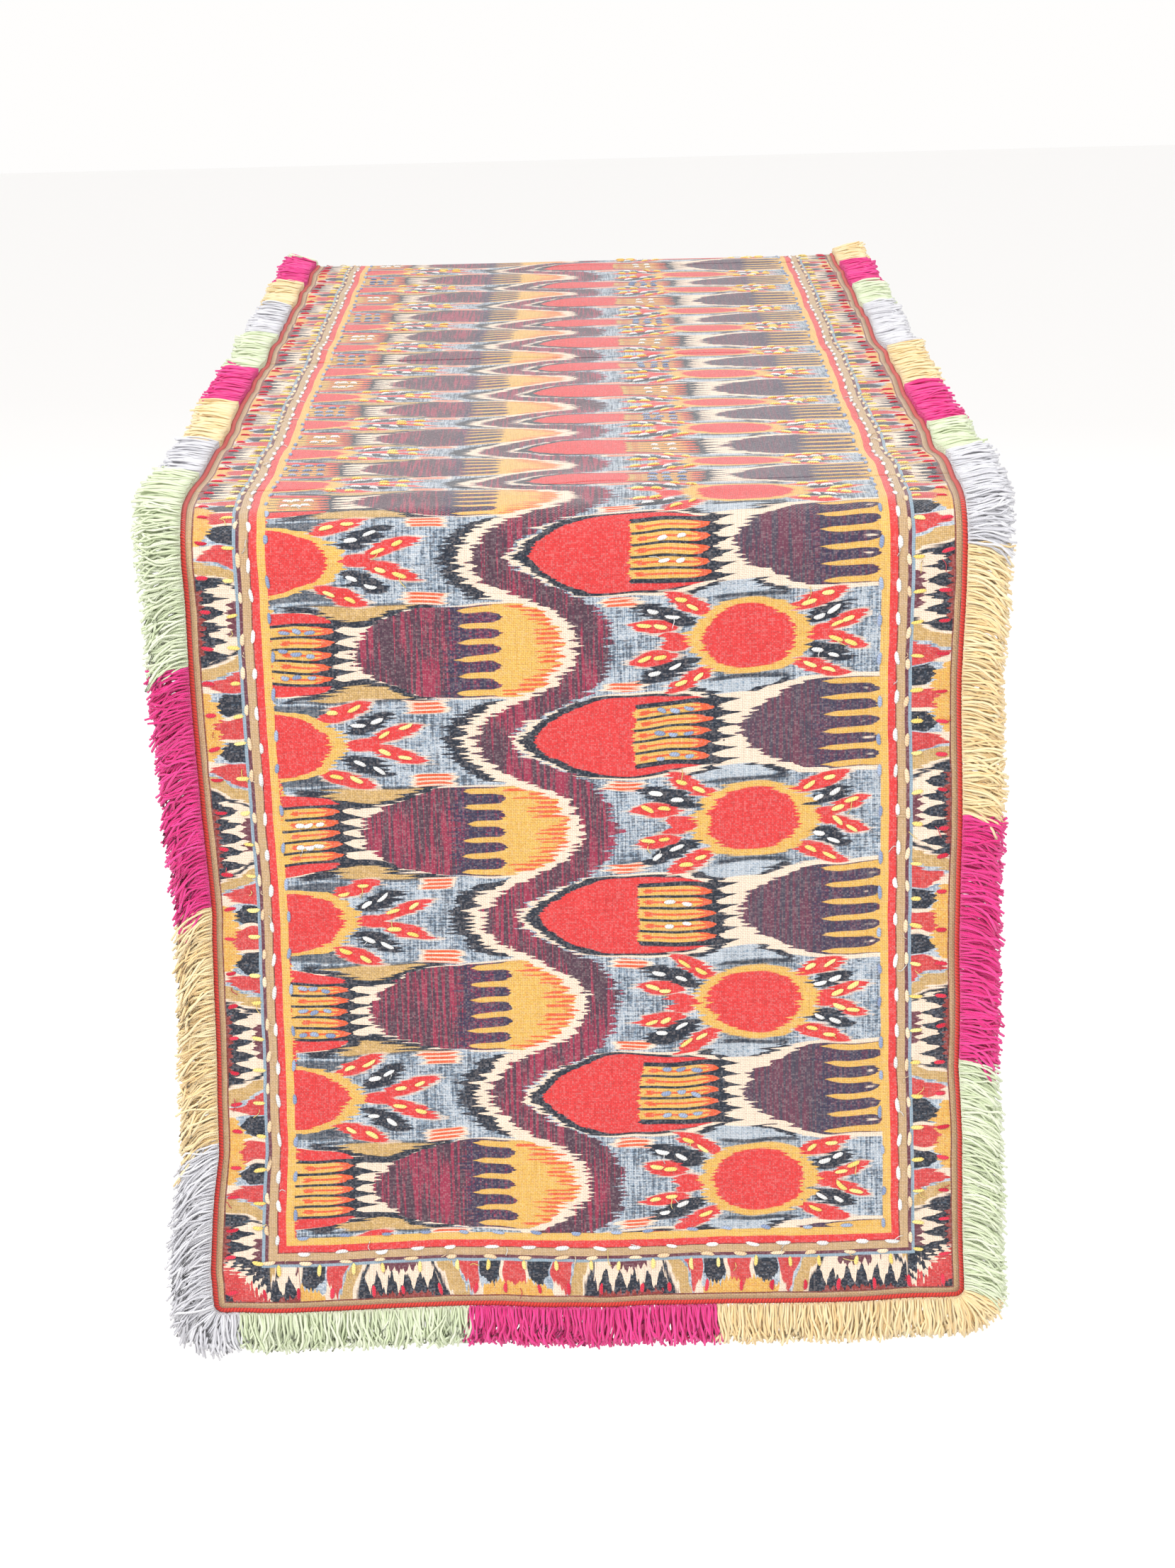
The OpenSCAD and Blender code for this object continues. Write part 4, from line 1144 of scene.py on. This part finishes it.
def sewn(name, x, s, turn, length, width, rise, colour, seed, jitter=1.0):
    """Bars at (x, s), turned in the plane of the cloth. Along a bar u goes from -1 to 1 and the bar's
    half width is (1 - |u|^3)^(1/2) of the full one; its underside sits in the cloth."""
    rng = np.random.default_rng(seed)
    count = len(x)
    turn = turn + rng.normal(0, 0.11, count) * jitter
    length = length * rng.uniform(0.82, 1.16, count)
    width = width * rng.uniform(0.85, 1.15, count)
    bow = rng.normal(0, 0.22, count)
    u = np.linspace(-1, 1, STITCH_RINGS)[None, :, None]
    ring = (np.arange(STITCH_SIDES) / STITCH_SIDES * 2 * math.pi)[None, None, :]
    swell = np.sqrt(np.maximum(1 - np.abs(u) ** 3.2, 0.03))
    along = u * length[:, None, None] / 2
    aside = np.cos(ring) * swell * width[:, None, None] / 2 + bow[:, None, None] * (1 - u**2)
    height = FACE_HI - 0.12 + (np.sin(ring) * 0.5 + 0.42) * swell * rise
    c, s_ = np.cos(turn)[:, None, None], np.sin(turn)[:, None, None]
    X = x[:, None, None] + along * c - aside * s_
    S = s[:, None, None] + along * s_ + aside * c
    points = lay(X, S, np.broadcast_to(height, X.shape))
    first = np.arange(count)[:, None, None] * STITCH_RINGS * STITCH_SIDES
    body = (first + grid_faces(STITCH_RINGS, STITCH_SIDES, closed=True)[None]).reshape(-1, 4)
    start = (first[:, 0] + np.arange(STITCH_SIDES)[None, ::-1]).reshape(-1, STITCH_SIDES)
    end = (first[:, 0] + (STITCH_RINGS - 1) * STITCH_SIDES + np.arange(STITCH_SIDES)[None]).reshape(-1, STITCH_SIDES)
    uv = np.stack([np.broadcast_to(along, X.shape) * MM, np.broadcast_to(ring / (2 * math.pi), X.shape)], -1)
    strand = np.repeat(rng.uniform(0, 1, count), STITCH_RINGS * STITCH_SIDES)
    return piece(name, points.reshape(-1, 3), [body[:, ::-1], start[:, ::-1], end[:, ::-1]], uv.reshape(-1, 2), THREADS[colour], strand)


def edge_row(end, inset, pitch, across, seed):
    """Stitch places round an end: x, s and turn, along the edge or square to it."""
    p, r, op, orr, walked = edge_path(end, inset, 1.0)
    rng = np.random.default_rng(seed)
    at = np.arange(pitch / 2, walked[-1] - pitch / 2, pitch)
    at = at + rng.uniform(-0.12, 0.12, len(at)) * pitch
    P, R, OP, OR = (np.interp(at, walked, v) for v in (p, r, op, orr))
    x, s = to_cloth(end, P + OP * rng.normal(0, 0.25, len(at)), R + OR * rng.normal(0, 0.25, len(at)))
    turn = np.arctan2(OR, OP) + (0 if across else math.pi / 2)
    return x, s, turn


ROWS = {  # inset from the outer edge, pitch, square to the edge, length, width
    "white": (30.4, 17.6, False, 6.4, 2.1),
    "cream": (25.6, 17.2, False, 6.2, 2.0),
    "blue": (38.4, 18.2, False, 5.8, 1.9),
    "yellow": (21.4, 16.0, True, 5.8, 2.0),
    "red": (9.4, 16.0, True, 5.8, 2.0),
}
for e, end in enumerate(("front", "back")):
    for k, (colour, (inset, pitch, across, length, width)) in enumerate(ROWS.items()):
        x, s, turn = edge_row(end, inset, pitch, across, 200 + e * 20 + k)
        row = sewn(f"{colour}_row_{end}", x, s, turn, np.full(len(x), length), np.full(len(x), width), 1.1, colour, 300 + e * 20 + k)
        across_bend(row)
        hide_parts(f"{colour}_thread_span", f"{colour}_thread_{end}_drop", f"threads_{end}_fold")
        print(row.name, len(x), "stitches")

# %% Motif stitches
def leaf_stitches(table, centre_sign, places):
    """Where the stitches lie along the leaves of a table, for one repeat: x, a and turn."""
    rows = []
    for x, a, turn, half_length, _ in table:
        angle = math.radians(turn)
        for along in places:
            rows.append((x + math.cos(angle) * along * half_length, a + math.sin(angle) * along * half_length, angle))
    return np.array(rows)


def repeat_rows(rows, limit):
    """Copies stitches (x, a, turn) to every repeat and to both sides of each row of suns, inside the field."""
    found = []
    for k in range(-1, int(LENGTH / REPEAT) + 2):
        for side in (1, -1):
            s = FIRST_SUN + k * REPEAT + side * rows[:, 1]
            found.append(np.stack([rows[:, 0], s, side * rows[:, 2]], -1))
    found = np.concatenate(found)
    inside = (found[:, 1] > limit) & (found[:, 1] < LENGTH - limit)
    return found[inside]


def pencil_rows(x0, count, pitch, offsets, row_shift, parity):
    """Stitches along the pencils of every second row: x0 is the first stitch, offsets the pencils."""
    found = []
    for k in range(-1, int(LENGTH / REPEAT) + 2):
        if k % 2 == parity:
            for offset in offsets:
                for i in range(count):
                    found.append((x0 + i * pitch, FIRST_SUN + k * REPEAT + row_shift + offset, 0.0))
    found = np.array(found)
    inside = (found[:, 1] > 80) & (found[:, 1] < LENGTH - 80)
    return found[inside]


red_leaves = [leaf for leaf in SUN_LEAVES_RED if leaf[3] > 9] + [leaf for leaf in HALF_SUN_LEAVES_RED if leaf[3] > 12]
navy_leaves = SUN_LEAVES_NAVY + HALF_SUN_LEAVES_NAVY
P = PENCIL_PITCH
motifs = {
    "yellow": [repeat_rows(leaf_stitches(red_leaves, 1, (-0.3, 0.36)), 46)],
    "white": [repeat_rows(leaf_stitches(navy_leaves, 1, (-0.34, 0.34)), 46),
              pencil_rows(-131.0, 3, 4.6, (-P, P), 0.0, 0), pencil_rows(41.0, 2, 8.4, (-P, P), HALF_REPEAT, 1)],
    "blue": [pencil_rows(-134.0, 3, 6.0, (-2 * P, 0, 2 * P), 0.0, 1), pencil_rows(38.0, 3, 7.0, (-2 * P, 0, 2 * P), HALF_REPEAT, 0)],
}
for colour, tables in motifs.items():
    found = np.concatenate(tables)
    for e, end in enumerate(("front", "back")):
        mine = found[(found[:, 1] < S_MID) == (end == "front")]
        count = len(mine)
        rng = np.random.default_rng(400 + e)
        x, s = mine[:, 0] + rng.normal(0, 0.5, count), mine[:, 1] + rng.normal(0, 0.5, count)
        lengths = np.where((mine[:, 2] == 0) & (np.abs(mine[:, 0]) < 140), 4.8, 6.4)
        row = sewn(f"{colour}_motif_stitches_{end}", x, s, mine[:, 2], lengths, np.full(count, 2.1), 1.3, colour,
                   500 + e, 1.6)
        across_bend(row)
        stem = "pencil_embroidery" if colour == "blue" else "sun_embroidery"
        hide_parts(f"{stem}_span", f"{stem}_{end}_drop")
        print(row.name, count, "stitches")

# %% Loose thread ends
def loose_ends(name, x, s, colour, seed):
    """Short limp tails that start at a stitch and lie on the cloth in a shallow curl. With u from 0 to 1
    a tail runs length u away at its own angle and curls aside by curl u^2."""
    rng = np.random.default_rng(seed)
    count = len(x)
    u = np.linspace(0, 1, 7)[None]
    angle = np.where(rng.random(count) < 0.5, -math.pi / 2, rng.uniform(0, 2 * math.pi, count))
    length, curl = rng.uniform(2.5, 6.5, count), rng.normal(0, 1.6, count)
    along, aside = length[:, None] * u, curl[:, None] * u**2 + 0.4 * np.sin(u * 5 + curl[:, None])
    c, s_ = np.cos(angle)[:, None], np.sin(angle)[:, None]
    height = FACE_HI + 0.25 + 0.5 * np.sin(math.pi * u) * rng.uniform(0.3, 1.6, count)[:, None]
    lines = lay(x[:, None] + along * c - aside * s_, s[:, None] + along * s_ + aside * c, height)
    points, faces = tubes(lines, np.full(lines.shape[:2], 0.2 * MM), 4)
    uv = np.stack([np.repeat((along * MM).reshape(-1), 4), np.tile(np.arange(4) / 4, count * 7)], -1)
    return piece(name, points, faces, uv, THREADS[colour], np.repeat(rng.uniform(0, 1, count), 28))


for colour in ("white", "cream", "yellow", "red"):
    for e, end in enumerate(("front", "back")):
        inset, pitch, across, _, _ = ROWS[colour]
        x, s, _ = edge_row(end, inset, pitch * 3.7, across, 600 + e)
        if colour in motifs:
            found = np.concatenate(motifs[colour])
            mine = found[(found[:, 1] < S_MID) == (end == "front")][e::7]
            x, s = np.concatenate([x, mine[:, 0]]), np.concatenate([s, mine[:, 1]])
        tails = loose_ends(f"{colour}_loose_ends_{end}", x, s, colour, 620 + e)
        across_bend(tails)
        print(tails.name, len(x), "tails")
